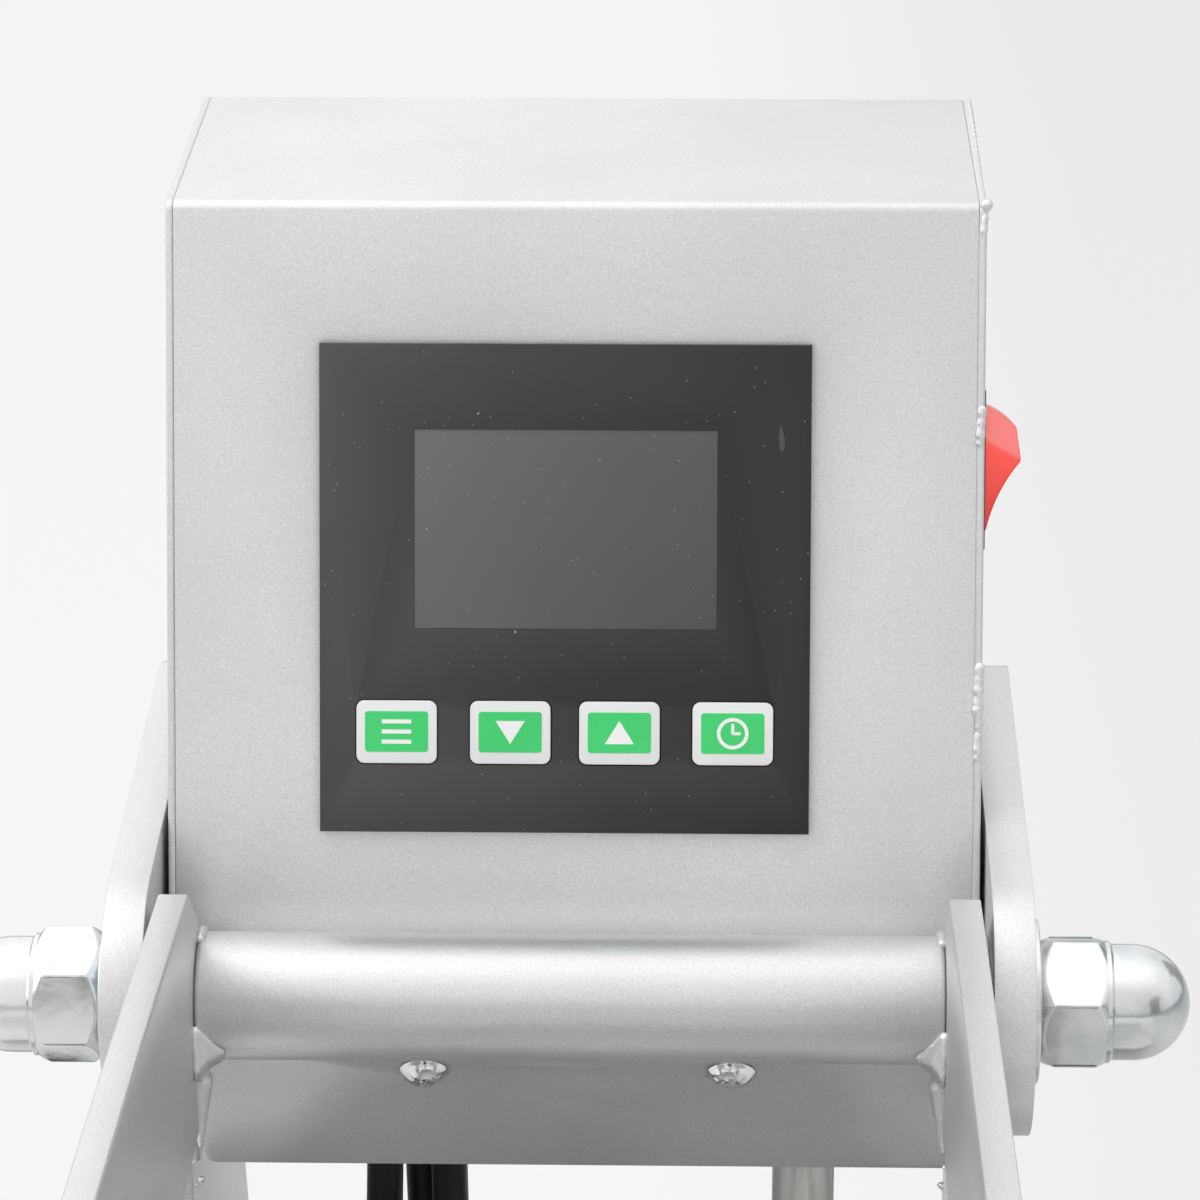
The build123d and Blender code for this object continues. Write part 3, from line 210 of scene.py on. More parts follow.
class Graph:
    """The node tree of a material or a world, built from expressions."""

    def __init__(self, owner: Any) -> None:
        """Start with an empty tree.

        Args:
            owner: The material or world, or the name of a new material.
        """
        self.owner = bpy.data.materials.new(owner) if isinstance(owner, str) else owner
        self.owner.use_nodes = True
        self.tree = self.owner.node_tree
        self.tree.nodes.clear()

    def node(self, kind: str, inputs: Optional[dict] = None, output: Any = 0, **settings: Any) -> Value:
        """Add a node.

        Args:
            kind: The node's type.
            inputs: Values or links of its sockets, by name or place.
            output: The output that is wanted, by name or place.
            settings: Properties that are set before its inputs.

        Returns:
            The wanted output.
        """
        node = self.tree.nodes.new(kind)
        for key, value in settings.items():
            setattr(node, key, value)
        for key, value in (inputs or {}).items():
            if isinstance(value, Value):
                self.tree.links.new(value.socket, node.inputs[key])
            else:
                node.inputs[key].default_value = value
        return Value(self, node.outputs[output])

    def place(self, space: str = "Object") -> Value:
        """The texture coordinate of the piece in the named space."""
        return self.node("ShaderNodeTexCoord", output=space)

    def split(self, vector: Value) -> tuple[Value, Value, Value]:
        """The X, Y and Z parts of a vector."""
        parts = self.node("ShaderNodeSeparateXYZ", {0: vector}).socket.node.outputs
        return Value(self, parts[0]), Value(self, parts[1]), Value(self, parts[2])

    def ray(self, kind: str) -> Value:
        """One for rays of a kind."""
        return self.node("ShaderNodeLightPath", output=f"Is {kind} Ray")

    def seen(self) -> Value:
        """One for camera, glossy and transmission rays."""
        return (self.ray("Camera") + self.ray("Glossy") + self.ray("Transmission")).above(0.5)

    def noise(self, scale: float, detail: float = 3.0, rough: float = 0.5,
              stretch: Point = (1.0, 1.0, 1.0)) -> Value:
        """A noise pattern.

        Args:
            scale: How fine the pattern is.
            detail: How many finer layers it has.
            rough: How strong the finer layers are.
            stretch: Scale along each axis.

        Returns:
            The pattern, from 0 to 1.
        """
        mapped = self.node("ShaderNodeMapping", {"Vector": self.place(), "Scale": stretch})
        return self.node("ShaderNodeTexNoise", {"Vector": mapped, "Scale": scale, "Detail": detail,
                                                "Roughness": rough})

    def specks(self, scale: float, size: float) -> Value:
        """Sparse round specks.

        Args:
            scale: How many specks there are along a metre.
            size: The reach of a speck, as a share of its cell.

        Returns:
            One in the specks and zero elsewhere.
        """
        cells = self.node("ShaderNodeTexVoronoi", {"Vector": self.place(), "Scale": scale})
        return 1 - cells.above(size)

    def ramp(self, value: Value, stops: Sequence[tuple[float, Color]]) -> Value:
        """A colour ramp.

        Args:
            value: What drives the ramp.
            stops: Positions and colours.

        Returns:
            The colour.
        """
        result = self.node("ShaderNodeValToRGB", {0: value})
        band = result.socket.node.color_ramp
        band.elements[0].position, band.elements[0].color = stops[0]
        band.elements[1].position, band.elements[1].color = stops[-1]
        for position, color in stops[1:-1]:
            band.elements.new(position).color = color
        return result

    def mix(self, factor: Any, first: Any, second: Any) -> Value:
        """Mix two colours.

        Args:
            factor: The share of the second colour.
            first: The first colour.
            second: The second colour.

        Returns:
            The mixed colour.
        """
        return self.node("ShaderNodeMix", {0: factor, 6: first, 7: second}, 2, data_type="RGBA")

    def bump(self, height: Value, distance: float, strength: float = 1.0,
             normal: Optional[Value] = None) -> Value:
        """Turn a height into a normal.

        Args:
            height: The height, from 0 to 1.
            distance: The real height in metres.
            strength: How much of it is used.
            normal: A normal to start from.

        Returns:
            The normal.
        """
        inputs = {"Height": height, "Distance": distance, "Strength": strength}
        if normal is not None:
            inputs["Normal"] = normal
        return self.node("ShaderNodeBump", inputs)

    def finish(self, inputs: dict) -> bpy.types.Material:
        """Close the material with a Principled shader.

        Args:
            inputs: Values or links of the shader's sockets.

        Returns:
            The material.
        """
        shader = self.node("ShaderNodeBsdfPrincipled", inputs)
        return self.surface(shader)

    def surface(self, shader: Value) -> Any:
        """Close the tree with a shader.

        Args:
            shader: What the surface or the world shows.

        Returns:
            The material or the world.
        """
        kind = "World" if isinstance(self.owner, bpy.types.World) else "Material"
        output = self.tree.nodes.new(f"ShaderNodeOutput{kind}")
        self.tree.links.new(shader.socket, output.inputs["Surface"])
        return self.owner


def grey(level: float, tint: Point = (1.0, 1.0, 1.0)) -> Color:
    """A grey of a level, with a tint."""
    return (level * tint[0], level * tint[1], level * tint[2], 1.0)


@dataclass(frozen=True)
class Coat:
    """A built finish and the record's slot for it, which is empty where it only dresses CAD nodes."""

    material: bpy.types.Material
    slot: str = ""


class Finish:
    """What all finishes share."""

    name: str

    def inputs(self, graph: Graph) -> dict:
        """The sockets of the finish's Principled shader."""
        raise NotImplementedError

    def coat(self, slot: str = "") -> Coat:
        """The built finish, tied to a slot."""
        graph = Graph(self.name)
        return Coat(graph.finish(self.inputs(graph)), slot)


@dataclass(frozen=True)
class SilverPaint(Finish):
    """Sprayed aluminium paint, with fine flakes and a light orange peel."""

    name: str = "silver_paint"
    level: float = 0.70
    metallic: float = 0.72
    roughness: float = 0.40
    flake_scale: float = 2600.0
    peel_scale: float = 420.0
    peel_height: float = 0.00010

    def inputs(self, graph: Graph) -> dict:
        """The sockets of the finish's Principled shader."""
        flakes = graph.noise(self.flake_scale, 2.0, 0.7)
        clouds = graph.noise(14.0, 3.0, 0.55)
        tone = flakes * 0.7 + clouds * 0.3
        color = graph.ramp(tone, [(0.30, grey(self.level * 0.86)), (0.52, grey(self.level)),
                                  (0.72, grey(min(1.0, self.level * 1.18)))])
        peel = graph.noise(self.peel_scale, 2.0, 0.5)
        rough = clouds * 0.14 + flakes * 0.10 + (self.roughness - 0.12)
        normal = graph.bump(peel, self.peel_height, 0.55)
        normal = graph.bump(flakes, self.peel_height * 0.5, 0.55, normal)
        return {"Base Color": color, "Metallic": self.metallic, "Roughness": rough,
                "Normal": normal}


@dataclass(frozen=True)
class Plated(Finish):
    """Bright zinc or chrome plate, with faint colours and soft dents."""

    name: str
    level: float = 0.74
    roughness: float = 0.17
    dent_scale: float = 260.0
    dent_height: float = 0.00026
    streak_level: float = 0.62

    def inputs(self, graph: Graph) -> dict:
        """The sockets of the finish's Principled shader."""
        clouds = graph.noise(70.0, 3.0, 0.6)
        dents = graph.noise(self.dent_scale, 2.0, 0.5)
        color = graph.ramp(clouds, [
            (0.30, grey(self.streak_level, (0.93, 0.99, 1.02))),
            (0.48, grey(self.level, (0.985, 1.0, 0.995))),
            (0.62, grey(self.level * 1.08, (1.0, 1.0, 1.0))),
            (0.78, grey(self.level, (0.96, 1.0, 1.0)))])
        rough = clouds * 0.16 + (self.roughness - 0.06)
        normal = graph.bump(dents, self.dent_height, 0.35)
        return {"Base Color": color, "Metallic": 1.0, "Roughness": rough, "Normal": normal}


@dataclass(frozen=True)
class BrushedMetal(Finish):
    """Bare machined or brushed metal with fine lines one way."""

    name: str
    level: float = 0.55
    roughness: float = 0.32
    stretch: Point = (1.0, 40.0, 1.0)

    def inputs(self, graph: Graph) -> dict:
        """The sockets of the finish's Principled shader."""
        lines = graph.noise(90.0, 4.0, 0.7, self.stretch)
        clouds = graph.noise(18.0, 2.0)
        color = graph.ramp(clouds, [(0.3, grey(self.level * 0.88)), (0.7, grey(self.level * 1.08))])
        rough = lines * 0.18 + (self.roughness - 0.09)
        return {"Base Color": color, "Metallic": 1.0, "Roughness": rough,
                "Normal": graph.bump(lines, 0.00003, 0.6)}


@dataclass(frozen=True)
class Moulded(Finish):
    """Moulded plastic or rubber, with a fine grain."""

    name: str
    color: Color
    roughness: float
    grain_scale: float
    grain_height: float
    spread: float = 0.16

    def inputs(self, graph: Graph) -> dict:
        """The sockets of the finish's Principled shader."""
        grain = graph.noise(self.grain_scale, 2.0, 0.6)
        clouds = graph.noise(24.0, 3.0)
        dark = tuple(c * (1 - self.spread) for c in self.color[:3]) + (1.0,)
        light = tuple(min(1.0, c * (1 + self.spread)) for c in self.color[:3]) + (1.0,)
        color = graph.ramp(clouds, [(0.3, dark), (0.7, light)])
        rough = clouds * 0.14 + grain * 0.08 + (self.roughness - 0.11)
        return {"Base Color": color, "Roughness": rough,
                "Normal": graph.bump(grain, self.grain_height, 0.6)}


@dataclass(frozen=True)
class DustySheenPanel(Finish):
    """Satin black plastic with dust specks and hairline scratches, and a painted sheen that lightens it
    towards the left and the bottom.
    """

    name: str = "dusty_sheen_panel"
    dark: float = 0.011
    middle: float = 0.024
    light: float = 0.050
    speck_level: float = 0.38
    roughness: float = 0.42

    def inputs(self, graph: Graph) -> dict:
        """The sockets of the finish's Principled shader."""
        clouds = graph.noise(30.0, 4.0, 0.6)
        smear = graph.noise(9.0, 2.0, 0.5, (1.0, 1.0, 2.2))
        across, _, height = graph.split(graph.place())
        centre = LAYOUT.on_face(-0.0014, 0.0755)
        # Painted sheen: the slope lightens the panel towards the left and the bottom.
        slope = (across - centre.x) * -8.5 + (height - centre.z) * -1.6 + 0.5
        base = graph.ramp(slope * 0.86 + clouds * 0.14, [(0.10, grey(self.dark)), (0.5, grey(self.middle)),
                                                         (0.90, grey(self.light))])
        small = graph.specks(420.0, 0.055)
        large = graph.specks(120.0, 0.030)
        scratches = graph.noise(160.0, 2.0, 0.5, (1.0, 1.0, 0.05)).above(0.735)
        marks = small * 0.55 + large * 0.7 + scratches * 0.10
        color = graph.mix(marks, base, grey(self.speck_level))
        rough = smear * 0.18 + clouds * 0.1 + (self.roughness - 0.14)
        return {"Base Color": color, "Roughness": rough,
                "Normal": graph.bump(clouds, 0.00006, 0.3)}


@dataclass(frozen=True)
class SmokedWindow(Finish):
    """A grey display window with a painted sheen that lightens it towards its upper left, with dust."""

    name: str = "smoked_window"
    dark: Color = (0.052, 0.053, 0.057, 1.0)
    light: Color = (0.128, 0.127, 0.129, 1.0)

    def inputs(self, graph: Graph) -> dict:
        """The sockets of the finish's Principled shader."""
        across, _, height = graph.split(graph.place())
        centre = LAYOUT.on_face(-0.0014, 0.0635)
        # Painted sheen: the slope lightens the window towards the left and the top.
        slope = (across - centre.x) * -8.0 + (height - centre.z) * 5.0 + 0.5
        clouds = graph.noise(28.0, 3.0)
        base = graph.ramp(slope * 0.8 + clouds * 0.2, [(0.15, self.dark), (0.85, self.light)])
        dust = graph.specks(380.0, 0.05) * 0.5 + graph.specks(150.0, 0.028) * 0.6
        color = graph.mix(dust, base, grey(0.42))
        rough = clouds * 0.12 + 0.24
        return {"Base Color": color, "Roughness": rough, "Specular IOR Level": 0.4}


@dataclass(frozen=True)
class RedLens(Finish):
    """Clear red plastic of a rocker switch: deeper red further down, pale pink above a slanted line, and a
    painted glow.
    """

    name: str = "red_lens"
    color: Color = (1.0, 0.085, 0.045, 1.0)
    deep: Color = (0.74, 0.030, 0.026, 1.0)
    # dust holds the pale pink that is laid over the red above a slanted line across the face.
    dust: Color = (0.86, 0.40, 0.41, 1.0)
    haze_down: float = 0.0474
    haze_across: float = 0.0812
    haze_slant: float = 0.54
    haze_sharpness: float = 400.0
    deepening: float = 55.0
    # glow is a painted glow that brightens the red, not light from a lamp inside the switch.
    glow: float = 0.20

    def inputs(self, graph: Graph) -> dict:
        """The sockets of the finish's Principled shader."""
        clouds = graph.noise(90.0, 2.0)
        across, behind, height = graph.split(graph.place())
        top, up = LAYOUT.on_face(0, 0), LAYOUT.face_up
        down = (top.y - behind) * up.y + (top.z - height) * up.z
        clear = graph.ramp((down - self.haze_down) * self.deepening + clouds * 0.2,
                           [(0.1, self.color), (0.9, self.deep)])
        # Pale pink laid over the red above a slanted line across the face.
        edge = (across - self.haze_across) * self.haze_slant + self.haze_down
        pink_share = graph.ramp((edge - down) * self.haze_sharpness + clouds * 0.3,
                           [(0.0, grey(0.06)), (0.45, grey(0.72))])
        color = graph.mix(pink_share, clear, self.dust)
        return {"Base Color": color, "Roughness": clouds * 0.1 + 0.16,
                "Transmission Weight": 0.30, "IOR": 1.49,
                "Emission Color": clear, "Emission Strength": self.glow,
                "Subsurface Weight": 0.25, "Subsurface Radius": (0.004, 0.0006, 0.0004),
                "Subsurface Scale": 1.0}


@dataclass(frozen=True)
class Braid(Finish):
    """A braided sleeve with fine ribs along it."""

    name: str = "grey_braid"
    color: Color = (0.94, 0.93, 0.90, 1.0)

    def inputs(self, graph: Graph) -> dict:
        """The sockets of the finish's Principled shader."""
        grain = graph.noise(1500.0, 2.0, 0.6, (1.0, 1.0, 0.16))
        ribs = graph.noise(640.0, 1.0, 0.4, (1.0, 1.0, 0.03))
        dark = tuple(c * 0.74 for c in self.color[:3]) + (1.0,)
        color = graph.ramp(ribs * 0.7 + grain * 0.3, [(0.32, dark), (0.6, self.color)])
        return {"Base Color": color, "Roughness": grain * 0.2 + 0.62,
                "Normal": graph.bump(ribs, 0.0007, 0.8), "Sheen Weight": 0.2}


class Palette:
    """All finishes, each built once."""

    def __init__(self) -> None:
        """Build the materials."""
        self.silver = SilverPaint().coat("silver_paint")
        self.weld = SilverPaint("silver_weld", 0.76, 0.74, 0.30, 2600.0, 900.0, 0.00022).coat("silver_paint")
        self.frame_paint = SilverPaint("silver_frame", 0.64, 0.70, 0.42).coat("silver_paint")
        self.link_paint = Coat(self.frame_paint.material, "zinc")
        self.zinc = Plated("zinc_plate").coat("zinc")
        self.washer = Plated("zinc_washer", 0.70, 0.24, 420.0, 0.00010, 0.60).coat("zinc")
        self.bright = Plated("bright_screw", 0.80, 0.10, 520.0, 0.00016, 0.5).coat("bright_steel")
        self.steel = BrushedMetal("ground_steel", 0.50, 0.26, (1.0, 1.0, 30.0)).coat()
        self.aluminium = BrushedMetal("milled_aluminium", 0.62, 0.36, (30.0, 1.0, 30.0)).coat()
        self.heater = BrushedMetal("heater_sheath", 0.36, 0.42).coat()
        self.black_coat = Moulded("black_powder_coat", grey(0.028), 0.42, 900.0, 0.00012).coat("black_paint")
        self.panel = DustySheenPanel().coat("black_plastic")
        self.panel_edge = Moulded("panel_edge", grey(0.34), 0.40, 900.0, 0.00002).coat()
        self.plastic = Moulded("black_plastic", grey(0.025), 0.46, 1100.0, 0.00006).coat("black_plastic")
        self.window = SmokedWindow().coat()
        self.key_white = Moulded("key_white", grey(0.76, (0.98, 1.0, 0.985)), 0.42, 900.0, 0.00002,
                                 0.04).coat("key_rubber")
        self.key_green = Moulded("key_green", (0.045, 0.58, 0.15, 1.0), 0.40, 900.0, 0.00002,
                                 0.06).coat("key_rubber")
        self.key_sign = Moulded("key_sign", grey(0.84), 0.44, 900.0, 0.00001, 0.03).coat("key_rubber")
        self.red = RedLens().coat("red_plastic")
        self.rubber = Moulded("black_rubber", grey(0.022), 0.66, 700.0, 0.00012).coat("black_rubber")
        self.foam = Moulded("grip_foam", grey(0.030), 0.78, 520.0, 0.00030).coat("black_rubber")
        self.sheath = Moulded("cable_sheath", grey(0.014), 0.42, 500.0, 0.00006).coat("cable_sheath")
        self.silicone = Moulded("silicone_pad", (0.60, 0.135, 0.045, 1.0), 0.62, 320.0, 0.00014,
                                0.08).coat("red_silicone")
        self.board = Moulded("insulation_board", grey(0.62, (1.0, 0.96, 0.86)), 0.85, 420.0, 0.0003,
                             0.10).coat()
        self.braid = Braid().coat("sleeve_braid")


PALETTE = Palette()


def only(piece: bpy.types.Object) -> None:
    """Select one object and make it active."""
    if bpy.context.mode != "OBJECT":
        bpy.ops.object.mode_set(mode="OBJECT")
    bpy.ops.object.select_all(action="DESELECT")
    piece.select_set(True)
    bpy.context.view_layer.objects.active = piece


def primitive(kind: str, **settings: Any) -> bpy.types.Object:
    """Add a mesh primitive.

    Args:
        kind: The primitive, as its operator calls it.
        settings: The operator's properties.

    Returns:
        The object.
    """
    bpy.ops.object.select_all(action="DESELECT")
    getattr(bpy.ops.mesh, f"primitive_{kind}_add")(**settings)
    piece = bpy.context.view_layer.objects.active
    only(piece)
    return piece


def edit(piece: bpy.types.Object, kind: Element, test: Callable[[Any], bool],
         steps: Callable[[], None]) -> None:
    """Run edit-mode operators on the elements of a mesh that pass a test.

    Args:
        piece: The object.
        kind: The kind of element to select.
        test: Says whether an element is selected.
        steps: Runs the operators.
    """
    only(piece)
    mesh = piece.data
    groups = {Element.VERTEX: mesh.vertices, Element.EDGE: mesh.edges, Element.FACE: mesh.polygons}
    for group in groups.values():
        group.foreach_set("select", [False] * len(group))
    chosen = groups[kind]
    chosen.foreach_set("select", [bool(test(element)) for element in chosen])
    bpy.context.tool_settings.mesh_select_mode = tuple(kind is item for item in Element)
    bpy.ops.object.mode_set(mode="EDIT")
    steps()
    bpy.ops.object.mode_set(mode="OBJECT")


def everything(_: Any) -> bool:
    """A test that every element passes."""
    return True


def settle(piece: bpy.types.Object) -> None:
    """Put an object's place into its mesh."""
    only(piece)
    bpy.ops.object.transform_apply(location=True, rotation=True, scale=True)


def tidy_normals(piece: bpy.types.Object) -> None:
    """Merge doubles and point all faces outwards."""
    def steps() -> None:
        """Merge, then turn the faces."""
        bpy.ops.mesh.remove_doubles(threshold=1e-6)
        bpy.ops.mesh.normals_make_consistent(inside=False)

    edit(piece, Element.VERTEX, everything, steps)


def modify(piece: bpy.types.Object, kind: str, **settings: Any) -> None:
    """Add a modifier and apply it.

    Args:
        piece: The object.
        kind: The modifier's type.
        settings: Its properties.
    """
    only(piece)
    modifier = piece.modifiers.new(kind.lower(), kind)
    for key, value in settings.items():
        setattr(modifier, key, value)
    bpy.ops.object.modifier_apply(modifier=modifier.name)


def round_edges(piece: bpy.types.Object, width: float, segments: int = 3, angle: float = 30.0) -> None:
    """Round a mesh's sharp edges.

    Args:
        piece: The object.
        width: The width of the rounding.
        segments: Faces across it.
        angle: The least angle, in degrees, of an edge that is rounded.
    """
    modify(piece, "BEVEL", width=width, segments=segments, limit_method="ANGLE",
           angle_limit=math.radians(angle), use_clamp_overlap=True)


def smooth(piece: bpy.types.Object, angle: float = 40.0) -> None:
    """Shade smooth up to an angle in degrees."""
    only(piece)
    bpy.ops.object.shade_smooth_by_angle(angle=math.radians(angle))


def join(pieces: Sequence[bpy.types.Object]) -> bpy.types.Object:
    """Join objects into the first.

    Args:
        pieces: The objects.

    Returns:
        The joined object.
    """
    only(pieces[0])
    for piece in pieces[1:]:
        piece.select_set(True)
    if len(pieces) > 1:
        bpy.ops.object.join()
    return pieces[0]


def keep(piece: bpy.types.Object, name: str, body: str, coat: Coat, *nodes: str) -> None:
    """Name, dress and attach a finished piece.

    Args:
        piece: The object.
        name: Its name.
        body: The CAD body that it rides on.
        coat: Its finish.
        nodes: CAD nodes that it stands for.
    """
    settle(piece)
    piece.name = name
    piece.data.name = name
    piece.data.materials.clear()
    piece.data.materials.append(coat.material)
    for polygon in piece.data.polygons:
        polygon.material_index = 0
    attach(piece, body)
    if nodes:
        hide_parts(*nodes)
    log.info("%s: %d faces on %s", name, len(piece.data.polygons), body)


def dress(coat: Coat, *nodes: str) -> None:
    """Give CAD nodes a finish.

    Args:
        coat: The finish.
        nodes: The nodes' names.
    """
    for node in nodes:
        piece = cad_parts[node]
        if not piece.material_slots:
            piece.data.materials.append(coat.material)
        for place in piece.material_slots:
            place.material = coat.material
        log.info("%s: dressed", node)


def softened(node: str, width: float, segments: int = 3, angle: float = 28.0) -> bpy.types.Object:
    """A copy of a CAD node with its sharp edges rounded.

    Args:
        node: The node's name.
        width: The width of the rounding.
        segments: Faces across it.
        angle: The least angle, in degrees, of an edge that is rounded.

    Returns:
        The copy.
    """
    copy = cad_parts[node].copy()
    copy.data = copy.data.copy()
    copy.parent = None
    for key in list(copy.keys()):
        del copy[key]
    bpy.context.scene.collection.objects.link(copy)

    def steps() -> None:
        """Merge the loose triangles and join flat faces."""
        bpy.ops.mesh.remove_doubles(threshold=2e-6)
        bpy.ops.mesh.dissolve_limited(angle_limit=math.radians(1.5))

    edit(copy, Element.VERTEX, everything, steps)
    round_edges(copy, width, segments, angle)
    smooth(copy, 45.0)
    return copy


def clad(node: str, name: str, body: str, coat: Coat, width: float, segments: int = 3) -> None:
    """Show a CAD node by a copy with rounded edges.

    Args:
        node: The node's name.
        name: The copy's name.
        body: The CAD body that it rides on.
        coat: Its finish.
        width: The width of the rounding.
        segments: Faces across it.
    """
    keep(softened(node, width, segments), name, body, coat, node)


def turned(steps: Sequence[tuple[float, float]], sides: int = 64) -> bpy.types.Object:
    """A turned piece about the Z axis: a disc that is extruded and scaled step by step.

    Args:
        steps: Radius and height of each ring, from the bottom up.
        sides: How many sides it has.

    Returns:
        The object, at the origin.
    """
    first_radius, first_height = steps[0]
    piece = primitive("circle", vertices=sides, radius=first_radius, fill_type="NGON",
                      location=(0, 0, first_height))
    settle(piece)

    def extrude() -> None:
        """Pull each next ring out of the last."""
        for (low, start), (high, end) in zip(steps[:-1], steps[1:]):
            bpy.ops.mesh.extrude_region_move(TRANSFORM_OT_translate={"value": (0, 0, end - start)})
            share = high / low
            bpy.ops.transform.resize(value=(share, share, 1), center_override=(0, 0, end))

    edit(piece, Element.FACE, everything, extrude)
    tidy_normals(piece)
    return piece


def arc_steps(centre: tuple[float, float], radius: float, start: float, end: float,
              count: int) -> list[tuple[float, float]]:
    """Rings along an arc of a turned piece's outline.

    Args:
        centre: Radius and height of the arc's centre.
        radius: The arc's radius.
        start: The first angle in degrees, from outwards to upwards.
        end: The last angle in degrees.
        count: How many steps.

    Returns:
        Radius and height of each ring.
    """
    rings = []
    for index in range(count + 1):
        angle = math.radians(start + (end - start) * index / count)
        rings.append((max(1e-5, centre[0] + radius * math.cos(angle)), centre[1] + radius * math.sin(angle)))
    return rings


def stand(piece: bpy.types.Object, place: Vector, direction: Vector, spin: float = 0.0) -> None:
    """Turn a piece made along Z to a direction, and move it to its place.

    Args:
        piece: The object.
        place: Where its origin goes.
        direction: Where its Z axis points.
        spin: A turn about its own axis, in degrees.
    """
    turn = direction.to_track_quat("Z", "Y").to_matrix().to_4x4()
    piece.matrix_world = Matrix.Translation(place) @ turn @ Matrix.Rotation(math.radians(spin), 4, "Z")
    settle(piece)


def block(size: Point, place: Vector) -> bpy.types.Object:
    """A rectangular block square to the box's face.

    Args:
        size: Its width, height up the face and thickness.
        place: Its middle.

    Returns:
        The object.
    """
    piece = primitive("cube", size=1.0)
    piece.scale = size
    settle(piece)
    piece.matrix_world = Matrix.Translation(place) @ face_turn()
    settle(piece)
    return piece


def face_turn() -> Matrix:
    """The turn from X, Y, Z to across, up and out of the box's face."""
    return Matrix((Vector((1, 0, 0)), LAYOUT.face_up, LAYOUT.face_out)).transposed().to_4x4()


@dataclass(frozen=True)
class WeldBead:
    """A lumpy bead of weld metal: balls along a path, melted into one skin of small cells."""

    voxel: float

    def make(self, balls: Sequence[tuple[Vector, float]], smoothing: int = 4) -> bpy.types.Object:
        """Melt balls into one skin.

        Args:
            balls: The middle and radius of each ball.
            smoothing: How many times the skin is smoothed.

        Returns:
            The bead.
        """
        bead = join([primitive("ico_sphere", subdivisions=3, radius=radius, location=place)
                     for place, radius in balls])
        settle(bead)
        modify(bead, "REMESH", mode="VOXEL", voxel_size=self.voxel)
        modify(bead, "SMOOTH", factor=0.6, iterations=smoothing)
        only(bead)
        bpy.ops.object.shade_smooth()
        return bead

    @staticmethod
    def chain(start: Vector, end: Vector, radius: float, count: int, waver: float) -> list:
        """Balls in a wavering row.

        Args:
            start: The first middle.
            end: The last middle.
            radius: The mean radius.
            count: How many balls.
            waver: How much the radius differs, as a share.

        Returns:
            The middle and radius of each ball.
        """
        row = []
        for index in range(count):
            share = index / max(1, count - 1)
            wave = math.sin(index * 2.4) * 0.6 + math.sin(index * 5.1 + 1.0) * 0.4
            row.append((start.lerp(end, share), radius * (1 + waver * wave)))
        return row


